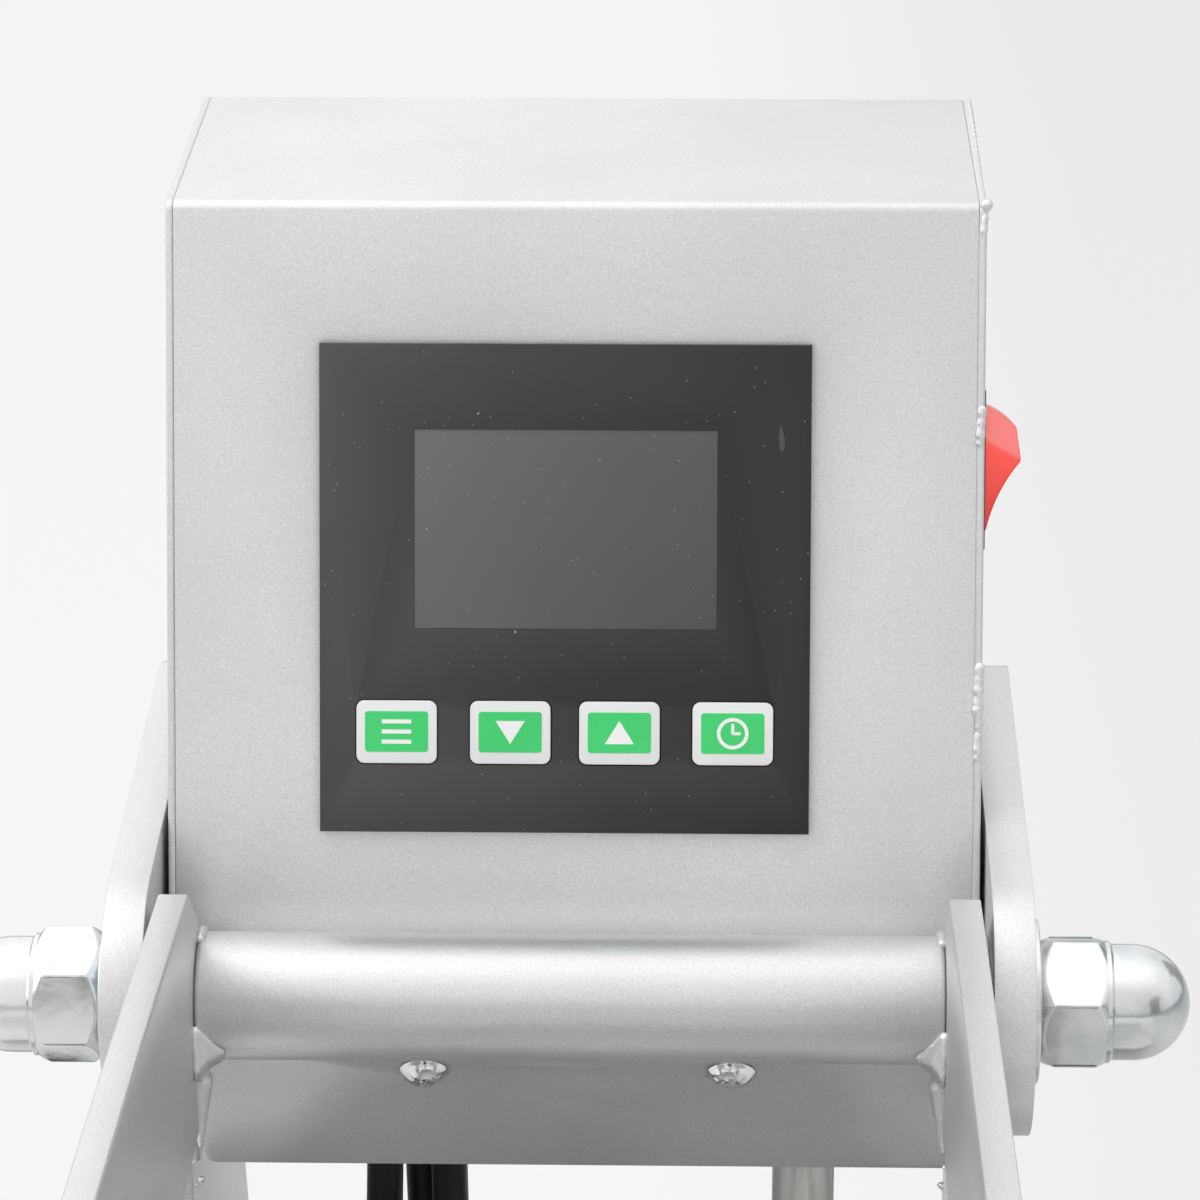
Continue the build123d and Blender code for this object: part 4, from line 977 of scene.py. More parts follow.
@dataclass
class ControlBox:
    """The folded sheet box with its welded corners, bottom cover and two screws."""

    edge: float = 0.0007
    wall_edge: float = 0.00042
    cover_edge: float = 0.00035
    weld_grain: float = 0.00032
    seam_inset: float = 0.0008
    seam_end: float = 0.160
    tack_step: float = 0.0007
    screw_diameter: float = 0.0100
    screw_height: float = 0.0032
    screw_rim: float = 0.00025
    screw_down: float = 0.014
    screw_middle: float = 0.0006
    screw_spacing: float = 0.0615
    screw_turns: tuple = (38, 90)
    recess: float = 0.0008
    recess_reach: float = 0.95
    recess_width: float = 0.20

    def build(self) -> None:
        """Make the whole sub-assembly."""
        clad("box_shell", "folded_shell", "frame", PALETTE.silver, self.edge)
        clad("box_side_walls", "side_walls", "frame", PALETTE.silver, self.wall_edge)
        clad("box_bottom_cover", "bottom_cover", "frame", PALETTE.silver, self.cover_edge)
        self.corner()
        self.tacks()
        self.seams()
        self.screws()
        dress(PALETTE.rubber, "cable_glands")

    def corner(self) -> None:
        """The weld back from the top right corner, with the blob that stands out of it."""
        half = LAYOUT.box_width / 2
        bead = WeldBead(self.weld_grain)
        corner = LAYOUT.on_face(half - 0.0002, 0.0002, -0.0006)
        blob_radius, top_length, top_radius, down_radius = 0.0013, 0.079, 0.00062, 0.0008
        balls = [(corner + Vector((0.0001, 0, 0)), blob_radius)]
        balls += bead.chain(corner + Vector((-0.0004, 0.003, -0.0003)), corner + Vector((0, top_length, 0)),
                            top_radius, 110, 0.16)
        balls += bead.chain(corner, LAYOUT.on_face(half - 0.0007, 0.006, -0.0004), down_radius, 8, 0.2)
        keep(bead.make(balls), "top_corner_weld", "frame", PALETTE.weld)

    def tacks(self) -> None:
        """Short thick welds on the right edge of the face."""
        half = LAYOUT.box_width / 2
        bead = WeldBead(self.weld_grain)
        balls = []
        for start, end, radius in ((0.040, 0.0465, 0.0010), (0.0905, 0.1005, 0.0011),
                                   (0.1015, 0.1085, 0.0009)):
            balls += bead.chain(LAYOUT.on_face(half - 0.0006, start, -0.0004),
                                LAYOUT.on_face(half - 0.0010, end, -0.0002), radius,
                                int((end - start) / self.tack_step), 0.28)
        keep(bead.make(balls, 10), "right_tack_welds", "frame", PALETTE.weld)

    def seams(self) -> None:
        """The thin weld down each edge of the face."""
        bead = WeldBead(self.weld_grain)
        for name, side, start, sunk, radius, count, waver in (
                ("left_seam_weld", -1, 0.0015, 0.0007, 0.00072, 170, 0.16),
                ("right_seam_weld", 1, 0.0030, 0.0008, 0.00060, 190, 0.2)):
            x = side * (LAYOUT.box_width / 2 - self.seam_inset)
            row = bead.chain(LAYOUT.on_face(x, start, -sunk), LAYOUT.on_face(x, self.seam_end, -sunk),
                             radius, count, waver)
            keep(bead.make(row), name, "frame", PALETTE.weld)

    def screws(self) -> None:
        """The two domed screws in the chin, each with a cross recess."""
        radius = self.screw_diameter / 2
        height = self.screw_height
        crown = (radius ** 2 + height ** 2) / (2 * height)
        start = math.degrees(math.asin((crown - height) / crown))
        heads = []
        for side, spin in zip((-1, 1), self.screw_turns):
            rings = [(radius * 0.93, 0.0), (radius, self.screw_rim)]
            rings += arc_steps((0, height - crown), crown, start + 3, 89.6, 12)
            head = turned(rings, 48)
            for turn in (0, 90):
                cutter = primitive("cube", size=1.0)
                cutter.scale = (radius * self.recess_reach, radius * self.recess_width, self.recess * 2)
                settle(cutter)
                cutter.matrix_world = Matrix.Translation((0, 0, height)) @ Matrix.Rotation(
                    math.radians(turn), 4, "Z")
                settle(cutter)
                modify(head, "BOOLEAN", object=cutter, operation="DIFFERENCE", solver="EXACT")
                bpy.data.objects.remove(cutter)
            round_edges(head, 0.00012, 2, 35)
            smooth(head, 35)
            seat = LAYOUT.on_chin(self.screw_middle + side * self.screw_spacing / 2, self.screw_down)
            stand(head, seat, LAYOUT.chin_out, spin)
            heads.append(head)
        keep(join(heads), "chin_screws", "frame", PALETTE.bright, "cover_screws")


@dataclass
class Controller:
    """The square control unit: panel, window and four keys with plain signs."""

    size: float = 0.096
    middle_x: float = -0.0018
    from_top: float = 0.0274
    thickness: float = 0.0025
    panel_edge: float = 0.00022
    worn_edge: float = 0.00035
    key_width: float = 0.0158
    key_height: float = 0.0124
    key_top: float = 0.0700
    key_centres: tuple = (0.0151, 0.0374, 0.0588, 0.0810)
    key_nodes: tuple = ("menu_key", "down_key", "up_key", "timer_key")
    key_edge: float = 0.00018
    key_proud: float = 0.0003
    field_side: float = 0.0017
    field_end: float = 0.0022
    field_corner: float = 0.0006
    field_thickness: float = 0.00012
    field_rise: float = 0.0001
    field_gap: float = 0.00002
    sign_thickness: float = 0.00008
    bar_length: float = 0.0058
    bar_width: float = 0.0008
    bar_spacing: float = 0.0020
    triangle_radius: float = 0.0033
    triangle_squash: float = 0.92
    triangle_drop: float = 0.0007
    clock_radius: float = 0.0031
    clock_rim: float = 0.0007
    hand_width: float = 0.0006
    long_hand: float = 0.0021
    long_hand_rise: float = 0.0009
    short_hand: float = 0.0017
    short_hand_shift: float = 0.0007

    def spot(self, across: float, down: float, out: float) -> Vector:
        """A place on the panel, from its top left corner.

        Args:
            across: Distance to the right.
            down: Distance down.
            out: Distance out of the box's face.

        Returns:
            The place in the frame.
        """
        return LAYOUT.on_face(self.middle_x - self.size / 2 + across, self.from_top + down, out)

    def build(self) -> None:
        """Make the whole sub-assembly."""
        self.panel()
        dress(PALETTE.window, "display_window")
        dress(PALETTE.plastic, "controller_body", "power_relay")
        for node, centre, icon in zip(self.key_nodes, self.key_centres, Icon):
            self.key(node, centre, icon)

    def panel(self) -> None:
        """The black front with its openings and a worn pale edge."""
        front = softened("controller_front", self.panel_edge, 2)
        keep(front, "control_panel", "frame", PALETTE.panel, "controller_front")
        front.data.materials.append(PALETTE.panel_edge.material)
        half = self.size / 2
        middle = self.spot(half, half, self.thickness)
        largest_worn = 0.0002
        for polygon in front.data.polygons:
            away = polygon.center - middle
            near_edge = max(abs(away.x), abs(away.dot(LAYOUT.face_up))) > half - self.worn_edge
            if near_edge and away.dot(LAYOUT.face_out) > -self.worn_edge and polygon.area < largest_worn:
                polygon.material_index = 1

    def key(self, node: str, centre: float, icon: Icon) -> None:
        """One key: white cap, green field and sign.

        Args:
            node: The key's CAD node and body.
            centre: Its middle from the panel's left edge.
            icon: The sign on it.
        """
        clad(node, f"{node}_cap", node, PALETTE.key_white, self.key_edge)
        middle = self.spot(centre, self.key_top + self.key_height / 2 - self.field_rise,
                           self.thickness + self.key_proud)
        field = block((self.key_width - 2 * self.field_side, self.key_height - 2 * self.field_end,
                       self.field_thickness), middle + LAYOUT.face_out * self.field_gap)

        def upright(edge: Any) -> bool:
            """Whether an edge runs out of the face."""
            start, end = (field.data.vertices[index].co for index in edge.vertices)
            return abs((start - end).dot(LAYOUT.face_out)) > self.field_thickness / 2

        edit(field, Element.EDGE, upright,
             lambda: bpy.ops.mesh.bevel(offset=self.field_corner, segments=4, affect="EDGES"))
        smooth(field)
        keep(field, f"{node}_field", node, PALETTE.key_green)
        sign = join(self.sign(icon, middle + LAYOUT.face_out * self.field_thickness))
        keep(sign, f"{node}_sign", node, PALETTE.key_sign)

    def sign(self, icon: Icon, middle: Vector) -> list[bpy.types.Object]:
        """The raised sign of a key.

        Args:
            icon: Which sign.
            middle: Its middle.

        Returns:
            Its pieces.
        """
        if icon is Icon.MENU:
            return [block((self.bar_length, self.bar_width, self.sign_thickness),
                          middle - LAYOUT.face_up * step * self.bar_spacing) for step in (-1, 0, 1)]
        if icon is Icon.CLOCK:
            return self.clock(middle)
        way = 1 if icon is Icon.UP else -1
        piece = primitive("cylinder", vertices=3, radius=self.triangle_radius, depth=self.sign_thickness)
        piece.scale = (1.0, self.triangle_squash, 1.0)
        settle(piece)
        turn = Matrix.Rotation(math.radians(90 - 90 * way), 4, "Z")
        place = middle - LAYOUT.face_up * way * self.triangle_drop
        piece.matrix_world = Matrix.Translation(place) @ face_turn() @ turn
        settle(piece)
        return [piece]

    def clock(self, middle: Vector) -> list[bpy.types.Object]:
        """A ring with two hands.

        Args:
            middle: Its middle.

        Returns:
            Its pieces.
        """
        sides = 48
        ring = primitive("cylinder", vertices=sides, radius=self.clock_radius, depth=self.sign_thickness)
        edit(ring, Element.FACE, lambda f: abs(f.normal.z) > 0.9,
             lambda: bpy.ops.mesh.inset(thickness=self.clock_rim, use_individual=True))
        edit(ring, Element.FACE, lambda f: abs(f.normal.z) > 0.9 and len(f.vertices) == sides,
             lambda: bpy.ops.mesh.bridge_edge_loops())
        ring.matrix_world = Matrix.Translation(middle) @ face_turn()
        settle(ring)
        return [ring,
                block((self.hand_width, self.long_hand, self.sign_thickness),
                      middle + LAYOUT.face_up * self.long_hand_rise),
                block((self.short_hand, self.hand_width, self.sign_thickness),
                      middle + Vector((self.short_hand_shift, 0, 0)))]


@dataclass
class PowerSwitch:
    """The red rocker in its frame on the right wall."""

    edge: float = 0.0006
    frame_edge: float = 0.0004

    def build(self) -> None:
        """Make the whole sub-assembly."""
        clad("rocker", "red_rocker", "rocker", PALETTE.red, self.edge, 4)
        clad("rocker_bezel", "switch_frame", "frame", PALETTE.plastic, self.frame_edge)


@dataclass
class HandlePivot:
    """Stud, dome nuts, washers, arms and the welded pivot tube."""

    across_flats: float = 0.024
    hex_height: float = 0.0138
    height: float = 0.0296
    dome_diameter: float = 0.0226
    neck_proud: float = 0.0006
    neck_overlap: float = 0.0008
    neck_step: float = 0.0005
    nut_edge: float = 0.00035
    nut_start: float = 0.0906
    chamfer_angle: float = 42.0
    chamfer_inset: float = 0.0010
    right_turn: float = 9.5
    left_turn: float = 8.9
    washer_edge: float = 0.00035
    arm_edge: float = 0.0007
    tube_chamfer: float = 0.0011
    tube_radius: float = 0.0125
    arm_inner: float = 0.0725
    weld_grain: float = 0.00045
    weld_from: float = -6.0
    weld_peak: float = -35.0
    weld_to: float = -92.0
    weld_leg: float = 0.0056
    least_leg: float = 0.0012
    weld_rows: int = 30
    balls_per_leg: int = 5
    ball_share: float = 0.30
    least_ball: float = 0.0004
    ball_sunk: float = 0.6
    ripple: float = 0.05
    run_from: Point = (0, -0.0070, -0.0150)
    run_to: Point = (0, -0.0075, -0.0290)
    run_balls: int = 14
    run_radius: float = 0.0024
    run_least: float = 0.0006
    tack_from: float = 84.0
    tack_step: float = 4.0
    tack_balls: int = 7
    tack_radius: float = 0.0012
    drops: tuple = ((-0.008, -0.036, 0.0009), (-0.012, -0.040, 0.0007), (-0.016, -0.033, 0.0006),
                    (-0.020, -0.026, 0.0007))

    def build(self) -> None:
        """Make the whole sub-assembly."""
        self.nut(1, self.right_turn, "right_dome_nut")
        self.nut(-1, self.left_turn, "left_dome_nut")
        clad("pivot_washers", "stud_washers", "frame", PALETTE.washer, self.washer_edge)
        dress(PALETTE.zinc, "pivot_stud")
        for side in ("left", "right"):
            clad(f"handle_arm_{side}", f"{side}_arm", "handle", PALETTE.silver, self.arm_edge)
        clad("pivot_tube", "cross_tube", "handle", PALETTE.silver, self.tube_chamfer)
        self.weld(-1, "left_tube_weld")
        self.weld(1, "right_tube_weld")

    def nut(self, side: int, turn: float, name: str) -> None:
        """A dome nut.

        Args:
            side: 1 on the right, -1 on the left.
            turn: How far its hexagon is turned, in degrees.
            name: The piece's name.
        """
        corner = self.across_flats / math.sqrt(3)
        top = self.across_flats / 2 - self.chamfer_inset
        slope = (corner - top) * math.tan(math.radians(self.chamfer_angle))
        prism = primitive("cylinder", vertices=6, radius=corner, depth=self.hex_height,
                          location=(0, 0, self.hex_height / 2))
        settle(prism)
        over = 0.0001
        limit = turned([(top, -over), (top, 0.0), (corner, slope), (corner, self.hex_height - slope),
                        (top, self.hex_height), (top, self.hex_height + over)], 96)
        modify(prism, "BOOLEAN", object=limit, operation="INTERSECT", solver="EXACT")
        bpy.data.objects.remove(limit)
        round_edges(prism, self.nut_edge, 3, 25)
        smooth(prism, 30)
        radius = self.dome_diameter / 2
        neck = self.hex_height
        rings = [(radius + self.neck_proud, neck - self.neck_overlap), (radius + self.neck_proud, neck),
                 (radius, neck + self.neck_step)]
        rings += arc_steps((0, self.height - radius), radius, 0, 89.5, 24)
        dome = turned(rings, 96)
        smooth(dome, 40)
        nut = join([prism, dome])
        stand(nut, LAYOUT.spot(side * self.nut_start, 0, 0), Vector((side, 0, 0)), turn)
        keep(nut, name, "frame", PALETTE.zinc, "dome_nuts")

    def around(self, x: float, out: float, degrees: float) -> Vector:
        """A place around the pivot tube.

        Args:
            x: Distance to the right of the middle.
            out: Distance out of the tube's surface.
            degrees: The angle, from the front upwards.

        Returns:
            The place in the frame.
        """
        angle = math.radians(degrees)
        reach = self.tube_radius + out
        return LAYOUT.spot(x, -reach * math.cos(angle), reach * math.sin(angle))

    def weld(self, side: int, name: str) -> None:
        """Weld metal in the corner of tube and arm, run down the arm, with drops of spatter.

        Args:
            side: 1 on the right, -1 on the left.
            name: The piece's name.
        """
        balls = []
        for index in range(self.weld_rows):
            degrees = self.weld_from + (self.weld_to - self.weld_from) * index / (self.weld_rows - 1)
            rising = (self.weld_from - degrees) / (self.weld_from - self.weld_peak)
            falling = (degrees - self.weld_to) / (self.weld_peak - self.weld_to)
            swell = min(rising, falling) * (1 + self.ripple * math.sin(index * 1.7))
            leg = self.least_leg + self.weld_leg * swell
            for step in range(self.balls_per_leg):
                share = step / self.balls_per_leg
                size = self.ball_share * leg * (1 - share) + self.least_ball
                sunk = size * self.ball_sunk
                for along, out in ((leg * share, sunk), (sunk, leg * share)):
                    balls.append((self.around(side * (self.arm_inner - along), out, degrees), size))
        foot = Vector((side * self.arm_inner, 0, 0))
        start, end = (LAYOUT.spot(*point) + foot for point in (self.run_from, self.run_to))
        for index in range(self.run_balls):
            share = index / (self.run_balls - 1)
            balls.append((start.lerp(end, share), self.run_radius * (1 - share) + self.run_least))
        for index in range(self.tack_balls):
            place = self.around(side * (self.arm_inner - 0.0006), 0.0001,
                                self.tack_from + index * self.tack_step)
            balls.append((place, self.tack_radius))
        for back, rise, size in self.drops:
            balls.append((LAYOUT.spot(side * (self.arm_inner - 0.0001), back, rise), size))
        keep(WeldBead(self.weld_grain).make(balls, 6), name, "handle", PALETTE.weld)


@dataclass
class Stand:
    """Side plates, base tubes, feet, posts and their bolts."""

    plate_edge: float = 0.0008
    tube_edge: float = 0.0016
    foot_edge: float = 0.0012
    bolt_edge: float = 0.0005
    bracket_edge: float = 0.0006

    def build(self) -> None:
        """Make the whole sub-assembly."""
        for side in ("left", "right"):
            clad(f"side_plate_{side}", f"{side}_ear_plate", "frame", PALETTE.silver, self.plate_edge)
        clad("base_rails", "rails", "frame", PALETTE.frame_paint, self.tube_edge, 4)
        clad("base_crossbars", "crossbars", "frame", PALETTE.frame_paint, self.tube_edge, 4)
        clad("rubber_feet", "feet", "frame", PALETTE.rubber, self.foot_edge)
        clad("side_plate_bolts", "plate_bolts", "frame", PALETTE.washer, self.bolt_edge)
        clad("strut_bracket", "lift_bracket", "frame", PALETTE.frame_paint, self.bracket_edge)
        dress(PALETTE.frame_paint, "platen_posts")
        dress(PALETTE.zinc, "carrier_shaft")
        clad("shaft_nuts", "shaft_hex_nuts", "frame", PALETTE.washer, self.bolt_edge)


@dataclass
class Handle:
    """The bent bar, its foam grip and the bolts."""

    edge: float = 0.0004
    grip_radius: float = 0.0175
    grip_half: float = 0.057
    grip_bore: float = 0.0127
    grip_corner: float = 0.003
    grooves: int = 9
    groove_margin: float = 0.012
    groove_depth: float = 0.0009
    groove_top: float = 0.0014
    groove_floor: float = 0.0004
    front: float = 0.4375
    rise: float = 0.044

    def build(self) -> None:
        """Make the whole sub-assembly."""
        clad("handle_bar", "bent_bar", "handle", PALETTE.silver, self.edge, 2)
        self.grip()
        clad("handle_bolts", "arm_bolts", "handle", PALETTE.washer, self.edge)
        clad("link_pins", "upper_link_pins", "handle", PALETTE.washer, self.edge)

    def grip(self) -> None:
        """The foam grip with its rounded ends and shallow grooves."""
        low, high = -self.grip_half, self.grip_half
        inner = self.grip_radius - self.grip_corner
        rings = [(self.grip_bore, low)]
        rings += arc_steps((inner, low + self.grip_corner), self.grip_corner, -90, 0, 6)
        pitch = 2 * (self.grip_half - self.groove_margin) / self.grooves
        for index in range(self.grooves + 1):
            middle = low + self.groove_margin + index * pitch
            for away, depth in ((-self.groove_top, 0.0), (-self.groove_floor, self.groove_depth),
                                (self.groove_floor, self.groove_depth), (self.groove_top, 0.0)):
                rings.append((self.grip_radius - depth, middle + away))
        rings += arc_steps((inner, high - self.grip_corner), self.grip_corner, 0, 90, 6)
        rings += [(self.grip_bore, high)]
        piece = turned(rings, 64)
        round_edges(piece, 0.0003, 2, 25)
        smooth(piece, 40)
        stand(piece, LAYOUT.spot(0, -self.front, self.rise), Vector((1, 0, 0)))
        keep(piece, "foam_grip", "handle", PALETTE.foam, "handle_grip")


@dataclass
class PressHead:
    """Links, carrier, spindle and knob."""

    edge: float = 0.0006
    bolt_edge: float = 0.0005
    carrier_edge: float = 0.0007
    rod_edge: float = 0.0004
    knob_edge: float = 0.0010
    middle_y: float = -0.102
    boss_sunk: float = 0.0001
    boss_rings: tuple = ((0.0130, 0.0), (0.0130, 0.0006), (0.0118, 0.0016), (0.0085, 0.0017),
                         (0.0080, 0.0011), (0.0008, 0.0011))

    def build(self) -> None:
        """Make the whole sub-assembly."""
        clad("toggle_links", "links_pair", "links", PALETTE.link_paint, self.edge)
        clad("link_bolts", "lower_link_bolts", "links", PALETTE.washer, self.bolt_edge)
        for node, name in (("carrier_bars", "bars"), ("carrier_tube", "carrier_hub"),
                           ("carrier_bushes", "bushes"), ("spindle_beam", "beam")):
            clad(node, name, "carrier", PALETTE.silver, self.carrier_edge)
        dress(PALETTE.steel, "strut_cross_pin", "pressure_spindle")
        self.knob()
        clad("strut_cylinder", "lift_cylinder", "strut_cylinder", PALETTE.black_coat, self.edge)
        clad("strut_rod", "lift_rod", "strut_rod", PALETTE.bright, self.rod_edge)

    def knob(self) -> None:
        """The lobed knob, with a raised boss on its top."""
        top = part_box("pressure_knob")[1].z
        knob = softened("pressure_knob", self.knob_edge, 3, 35)
        boss = turned(self.boss_rings, 48)
        smooth(boss, 30)
        stand(boss, Vector((0, self.middle_y, top - self.boss_sunk)), Vector((0, 0, 1)))
        keep(join([knob, boss]), "lobed_knob", "spindle", PALETTE.plastic, "pressure_knob")


@dataclass
class Platens:
    """Heating platen under its cover, lower platen and silicone pad."""

    cover_edge: float = 0.0005
    bolt_edge: float = 0.0003
    plate_edge: float = 0.0012
    pad_edge: float = 0.0014

    def build(self) -> None:
        """Make the whole sub-assembly."""
        dress(PALETTE.aluminium, "heating_platen")
        dress(PALETTE.heater, "heater_element")
        dress(PALETTE.steel, "platen_nut")
        dress(PALETTE.board, "insulation_board")
        clad("platen_cover", "cover_shell", "platen", PALETTE.silver, self.cover_edge)
        clad("cover_bolts", "cover_hex_bolts", "platen", PALETTE.washer, self.bolt_edge)
        clad("lower_platen", "bed_plate", "frame", PALETTE.black_coat, self.plate_edge)
        clad("silicone_pad", "press_pad", "frame", PALETTE.silicone, self.pad_edge, 4)


@dataclass
class Leads:
    """The cables under the box and the mains lead with its coil and plug."""

    lead: float = 0.008
    sleeve: float = 0.0135
    mains_x: float = -0.0439
    earth_x: float = -0.0363
    heater_x: float = -0.0301
    sleeve_x: float = 0.0475
    coil_pitch: float = 0.0086
    coil_radius: float = 0.056
    half_turns_in: int = 5
    end_straight: float = 0.044
    table: float = 0.0003
    steps_per_half_turn: int = 8
    plug_edge: float = 0.0008
    bend_margin: float = 0.02
    end_margin: float = 0.004

    @property
    def gland(self) -> Vector:
        """The middle of the lower faces of the glands."""
        low = LAYOUT.face_foot + LAYOUT.chin_down * LAYOUT.chin_length
        return Vector((0, LAYOUT.pivot_y + LAYOUT.gland_back, low.z - LAYOUT.gland_height))

    def route(self, x: float, steps: Sequence[Point]) -> list[Vector]:
        """Points stated in millimetres from a gland.

        Args:
            x: The gland's place across the press.
            steps: Points from it.

        Returns:
            The points in the frame.
        """
        start = self.gland + Vector((x, 0, 0))
        return [start + Vector(step) * MM for step in steps]

    def coil(self, entry: Vector) -> list[Vector]:
        """The wound part of the mains lead: in along the table, and out again on top.

        Args:
            entry: Where the winding starts.

        Returns:
            Its points, with the straight end.
        """
        radii = [(self.coil_radius - self.coil_pitch / 2 * i, 0.0) for i in range(self.half_turns_in)]
        inner = self.coil_radius - self.coil_pitch / 2 * self.half_turns_in
        radii.append((inner, self.coil_pitch))
        radii += [(inner + self.coil_pitch / 2 * (i + 1), 0.0) for i in range(self.half_turns_in - 1)]
        points = []
        place, heading = entry.copy(), 1
        count = self.steps_per_half_turn
        swell = 1 / math.cos(math.pi / count / 2) ** 2
        for radius, climb in radii:
            for index in range(count):
                angle = math.pi * (index + 0.5) / count
                lift = climb * (0.5 - 0.5 * math.cos(angle))
                reach = radius * swell
                points.append(place + Vector((-heading * reach * math.sin(angle),
                                              heading * (radius - reach * math.cos(angle)), lift)))
            place += Vector((0, heading * 2 * radius, climb))
            heading = -heading
        points.append(place - Vector((heading * self.lead * 1.5, 0, 0)))
        points.append(place - Vector((heading * self.end_straight, 0, 0)))
        return points

    def curve(self, name: str, points: Sequence[Vector], radius: float) -> bpy.types.Object:
        """A smooth curve with the points as its controls.

        Args:
            name: The curve's name.
            points: The control points.
            radius: The radius of its tube, or 0 for its line alone.

        Returns:
            The curve object.
        """
        data = bpy.data.curves.new(name, "CURVE")
        data.dimensions = "3D"
        spline = data.splines.new("NURBS")
        spline.points.add(len(points) - 1)
        for control, point in zip(spline.points, points):
            control.co = (*point, 1.0)
        spline.order_u = 3
        spline.use_endpoint_u = True
        spline.resolution_u = 8
        data.bevel_depth = radius
        data.bevel_resolution = 5
        data.use_fill_caps = bool(radius)
        piece = bpy.data.objects.new(name, data)
        bpy.context.scene.collection.objects.link(piece)
        return piece

    def mesh(self, points: Sequence[Vector], radius: float) -> bpy.types.Mesh:
        """The mesh of a smooth tube.

        Args:
            points: The control points of its line.
            radius: Its radius, or 0 for the line alone.

        Returns:
            The mesh.
        """
        route = self.curve("route", points, radius)
        depsgraph = bpy.context.evaluated_depsgraph_get()
        mesh = bpy.data.meshes.new_from_object(route.evaluated_get(depsgraph))
        bpy.data.objects.remove(route)
        return mesh

    def line(self, points: Sequence[Vector]) -> list[Point]:
        """Points along the smooth line of a route, in order."""
        return [tuple(vertex.co) for vertex in self.mesh(points, 0.0).vertices]

    def length(self, path: Sequence[Point]) -> float:
        """The length of a path in metres."""
        return sum((Vector(b) - Vector(a)).length for a, b in zip(path[:-1], path[1:]))

    def build(self) -> None:
        """Make the whole sub-assembly."""
        self.mains()
        self.hanging("earth_wire", "earth_lead", self.lead, PALETTE.sheath, self.route(
            self.earth_x, [(0, 8, 0), (0, 8, -34), (2, 15, -72), (6, 26, -110), (9, 42, -142),
                           (10, 61, -164.45), (10, 85, -164.45)]))
        self.hanging("heater_wire", "heater_lead", self.lead, PALETTE.sheath, self.route(
            self.heater_x, [(0, 0, 0), (0, 0, -34), (2, -6, -66), (2, -30, -92), (1, -62, -100),
                            (0, -96, -88), (0, -110, -79.15), (0, -130, -79.15)]), moving=True)
        self.hanging("braided_sleeve", "sensor_sleeve", self.sleeve, PALETTE.braid,
                     self.route(self.sleeve_x, [(0, 0, 0), (0, 0, -36), (-1, -8, -72), (-2, -34, -98),
                                                (-2, -68, -104), (-1, -100, -91), (0, -108, -79.15),
                                                (0, -130, -79.15)]), moving=True)

    def mains(self) -> None:
        """The mains lead, wound up behind the press, and its plug."""
        floor = self.lead / 2 + self.table - self.gland.z
        down = floor / MM
        points = self.route(self.mains_x, [
            (0, 0, 0), (0, 0, -34), (-4, 8, -66), (-7, 28, -94), (-8, 56, -112), (-7, 88, -124),
            (-9, 118, -134), (-14, 132, -158), (-26, 136, -179), (-47, 136, down), (-68, 136, down)])
        entry = points[-1] - Vector((self.lead, 0, 0))
        points += self.coil(entry)
        piece = self.curve("mains_cable", points, self.lead / 2)
        piece.data.materials.append(PALETTE.sheath.material)
        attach(piece, "frame")
        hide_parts("mains_lead", "mains_coil")
        plug = softened("mains_plug", self.plug_edge)
        keep(plug, "plug_body", "frame", PALETTE.plastic, "mains_plug")
        length = self.length(self.line(points))
        log.info("mains_cable: %.3f m long", length)

    def hanging(self, name: str, node: str, diameter: float, coat: Coat, points: Sequence[Vector],
                moving: bool = False) -> None:
        """A cable that hangs between two pieces of the press.

        Args:
            name: The piece's name.
            node: The CAD node that it stands for.
            diameter: Its diameter.
            coat: Its finish.
            points: Its route.
            moving: Whether its far end is on the platen, which rises; such a cable is left unattached, with
                its place baked into its mesh.
        """
        piece = bpy.data.objects.new(name, self.mesh(points, diameter / 2))
        bpy.context.scene.collection.objects.link(piece)
        only(piece)
        bpy.ops.object.shade_smooth()
        path = self.line(points)
        piece.data.materials.append(coat.material)
        if moving:
            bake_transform(piece)
        else:
            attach(piece, "frame")
        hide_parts(node)
        log.info("%s: %.3f m long", name, self.length(path))


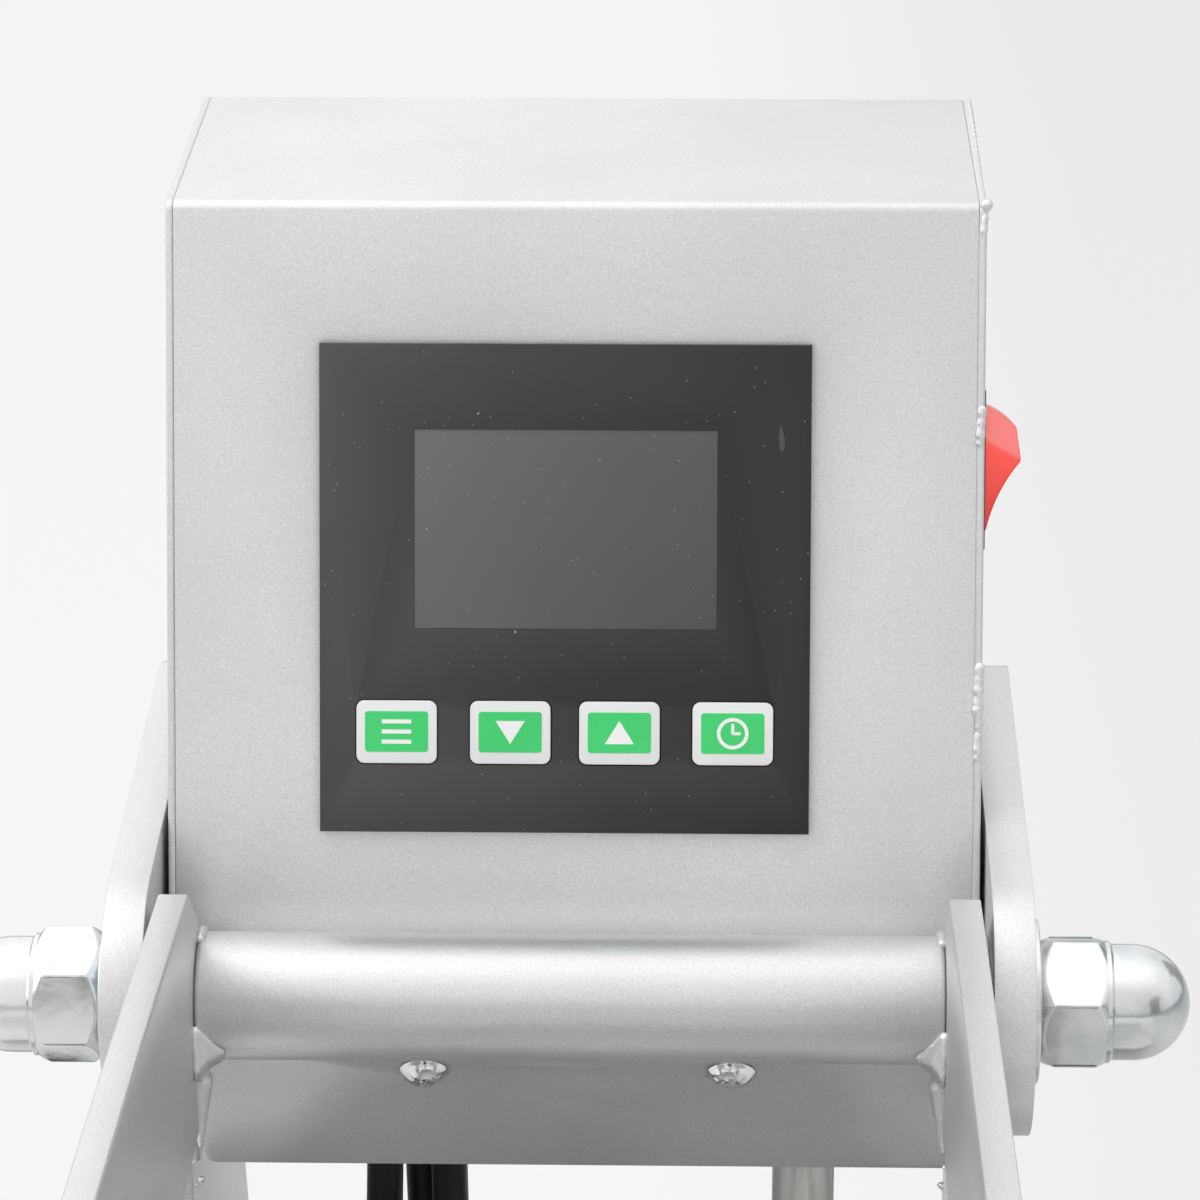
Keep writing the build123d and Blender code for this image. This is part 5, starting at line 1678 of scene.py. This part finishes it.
@dataclass
class Studio:
    """Pale floor, soft lamps and the camera at the photograph's viewing angle."""

    camera_right: float = 0.028741
    camera_back: float = -0.905623
    camera_rise: float = 0.420827
    yaw: float = math.radians(1.446)
    pitch: float = math.radians(20.466)
    roll: float = math.radians(-0.175)
    focal_pixels: float = 5114.1
    frame_pixels: float = 1200.0
    sensor: float = 36.0
    backdrop_level: float = 0.955
    backdrop_fall: float = 0.90
    fall_rate: float = 2.5
    floor_size: float = 24.0
    floor_level: float = 0.80
    floor_glow: float = 0.86
    front_level: float = 0.86
    top_level: float = 1.45
    rear_level: float = 1.04
    card_shade: float = 0.55
    ambient: float = 0.42

    def build(self) -> None:
        """Make the whole stage."""
        bpy.context.scene.view_settings.view_transform = "Standard"
        self.camera()
        self.world()
        self.floor()
        self.lamps()

    def camera(self) -> None:
        """Place the camera by its fitted position and angles."""
        data = bpy.data.cameras.new("photo_camera")
        data.sensor_width = self.sensor
        data.sensor_fit = "HORIZONTAL"
        data.lens = self.focal_pixels / self.frame_pixels * self.sensor
        data.clip_start = 0.01
        data.clip_end = 50.0
        camera = bpy.data.objects.new("photo_camera", data)
        bpy.context.scene.collection.objects.link(camera)
        forward = Vector((-math.sin(self.yaw) * math.cos(self.pitch),
                          math.cos(self.yaw) * math.cos(self.pitch), -math.sin(self.pitch)))
        right = Vector((math.cos(self.yaw), math.sin(self.yaw), 0))
        up = right.cross(forward)
        rolled_right = right * math.cos(self.roll) + up * math.sin(self.roll)
        rolled_up = up * math.cos(self.roll) - right * math.sin(self.roll)
        turn = Matrix((rolled_right, rolled_up, -forward)).transposed().to_4x4()
        place = LAYOUT.spot(self.camera_right, self.camera_back, self.camera_rise)
        camera.matrix_world = Matrix.Translation(place) @ turn
        bpy.context.scene.camera = camera

    def world(self) -> None:
        """A white room: plain to the eye, shaded and with dark cards at the sides in reflections."""
        world = bpy.data.worlds.new("studio")
        bpy.context.scene.world = world
        graph = Graph(world)
        across, behind, up = graph.split(graph.place("Generated"))
        level = graph.ramp(behind * 0.5 + 0.5, [
            (0.0, grey(self.front_level)), (0.16, grey(self.front_level * 1.08)),
            (0.42, grey(self.top_level)), (0.62, grey(self.top_level)), (1.0, grey(self.rear_level))])
        cards = across.magnitude().above(0.52) * (1 - across.magnitude().above(0.80)) * (1 - up.above(0.42))
        shade = (1 - cards * self.card_shade) * (1 - across * 0.35) * (1 + up * 0.12)
        room = graph.node("ShaderNodeBackground", {"Color": level, "Strength": shade})
        light = graph.node("ShaderNodeBackground", {"Color": grey(1.0), "Strength": self.ambient})
        plain = graph.node("ShaderNodeBackground", {"Color": grey(self.backdrop_level)})
        shown = graph.node("ShaderNodeMixShader", {0: graph.seen(), 1: light, 2: room})
        graph.surface(graph.node("ShaderNodeMixShader", {0: graph.ray("Camera"), 1: shown, 2: plain}))

    def floor(self) -> None:
        """A wide pale floor, whose glow for the camera has a painted shade that darkens it towards the right.
        """
        floor = primitive("plane", size=self.floor_size)
        floor.name = "studio_floor"
        graph = Graph("studio_floor")
        lit = graph.node("ShaderNodeBsdfDiffuse", {"Color": grey(self.floor_level)})
        across, _, _ = graph.split(graph.place())
        # Painted shade: the backdrop level falls towards the right.
        level = graph.ramp(across * self.fall_rate + 0.5,
                           [(0.5, grey(self.backdrop_level)),
                            (1.0, grey(self.backdrop_level * self.backdrop_fall))])
        glow = graph.node("ShaderNodeEmission", {"Color": level, "Strength": 1.0})
        mixed = graph.node("ShaderNodeMixShader", {0: graph.ray("Camera") * self.floor_glow, 1: lit, 2: glow})
        floor.data.materials.append(graph.surface(mixed))

    def lamp(self, name: str, place: Vector, target: Vector, size: float, power: float) -> None:
        """A square soft lamp.

        Args:
            name: Its name.
            place: Where it hangs.
            target: What it points at.
            size: Its side.
            power: Its power in watts.
        """
        data = bpy.data.lights.new(name, "AREA")
        data.shape = "SQUARE"
        data.size = size
        data.energy = power
        lamp = bpy.data.objects.new(name, data)
        lamp.visible_glossy = False
        bpy.context.scene.collection.objects.link(lamp)
        turn = (target - place).to_track_quat("-Z", "Y").to_matrix().to_4x4()
        lamp.matrix_world = Matrix.Translation(place) @ turn

    def lamps(self) -> None:
        """A large lamp above and to the left, and a fill from the front."""
        middle = LAYOUT.spot(0, 0, 0.02)
        for name, away, size, power in (("key_softbox", (-0.9, -0.5, 1.7), 1.4, 26.0),
                                        ("front_fill", (0.7, -2.0, 0.7), 1.6, 19.0),
                                        ("rear_fill", (0.4, 1.8, 1.4), 1.4, 8.0)):
            self.lamp(name, middle + Vector(away), middle, size, power)


def main() -> None:
    """Build the press and its stage."""
    logging.basicConfig(level=logging.INFO, format="%(message)s")
    Studio().build()
    Leads().build()
    ControlBox().build()
    Controller().build()
    PowerSwitch().build()
    HandlePivot().build()
    Stand().build()
    Handle().build()
    PressHead().build()
    Platens().build()


if __name__ == "__main__":
    main()
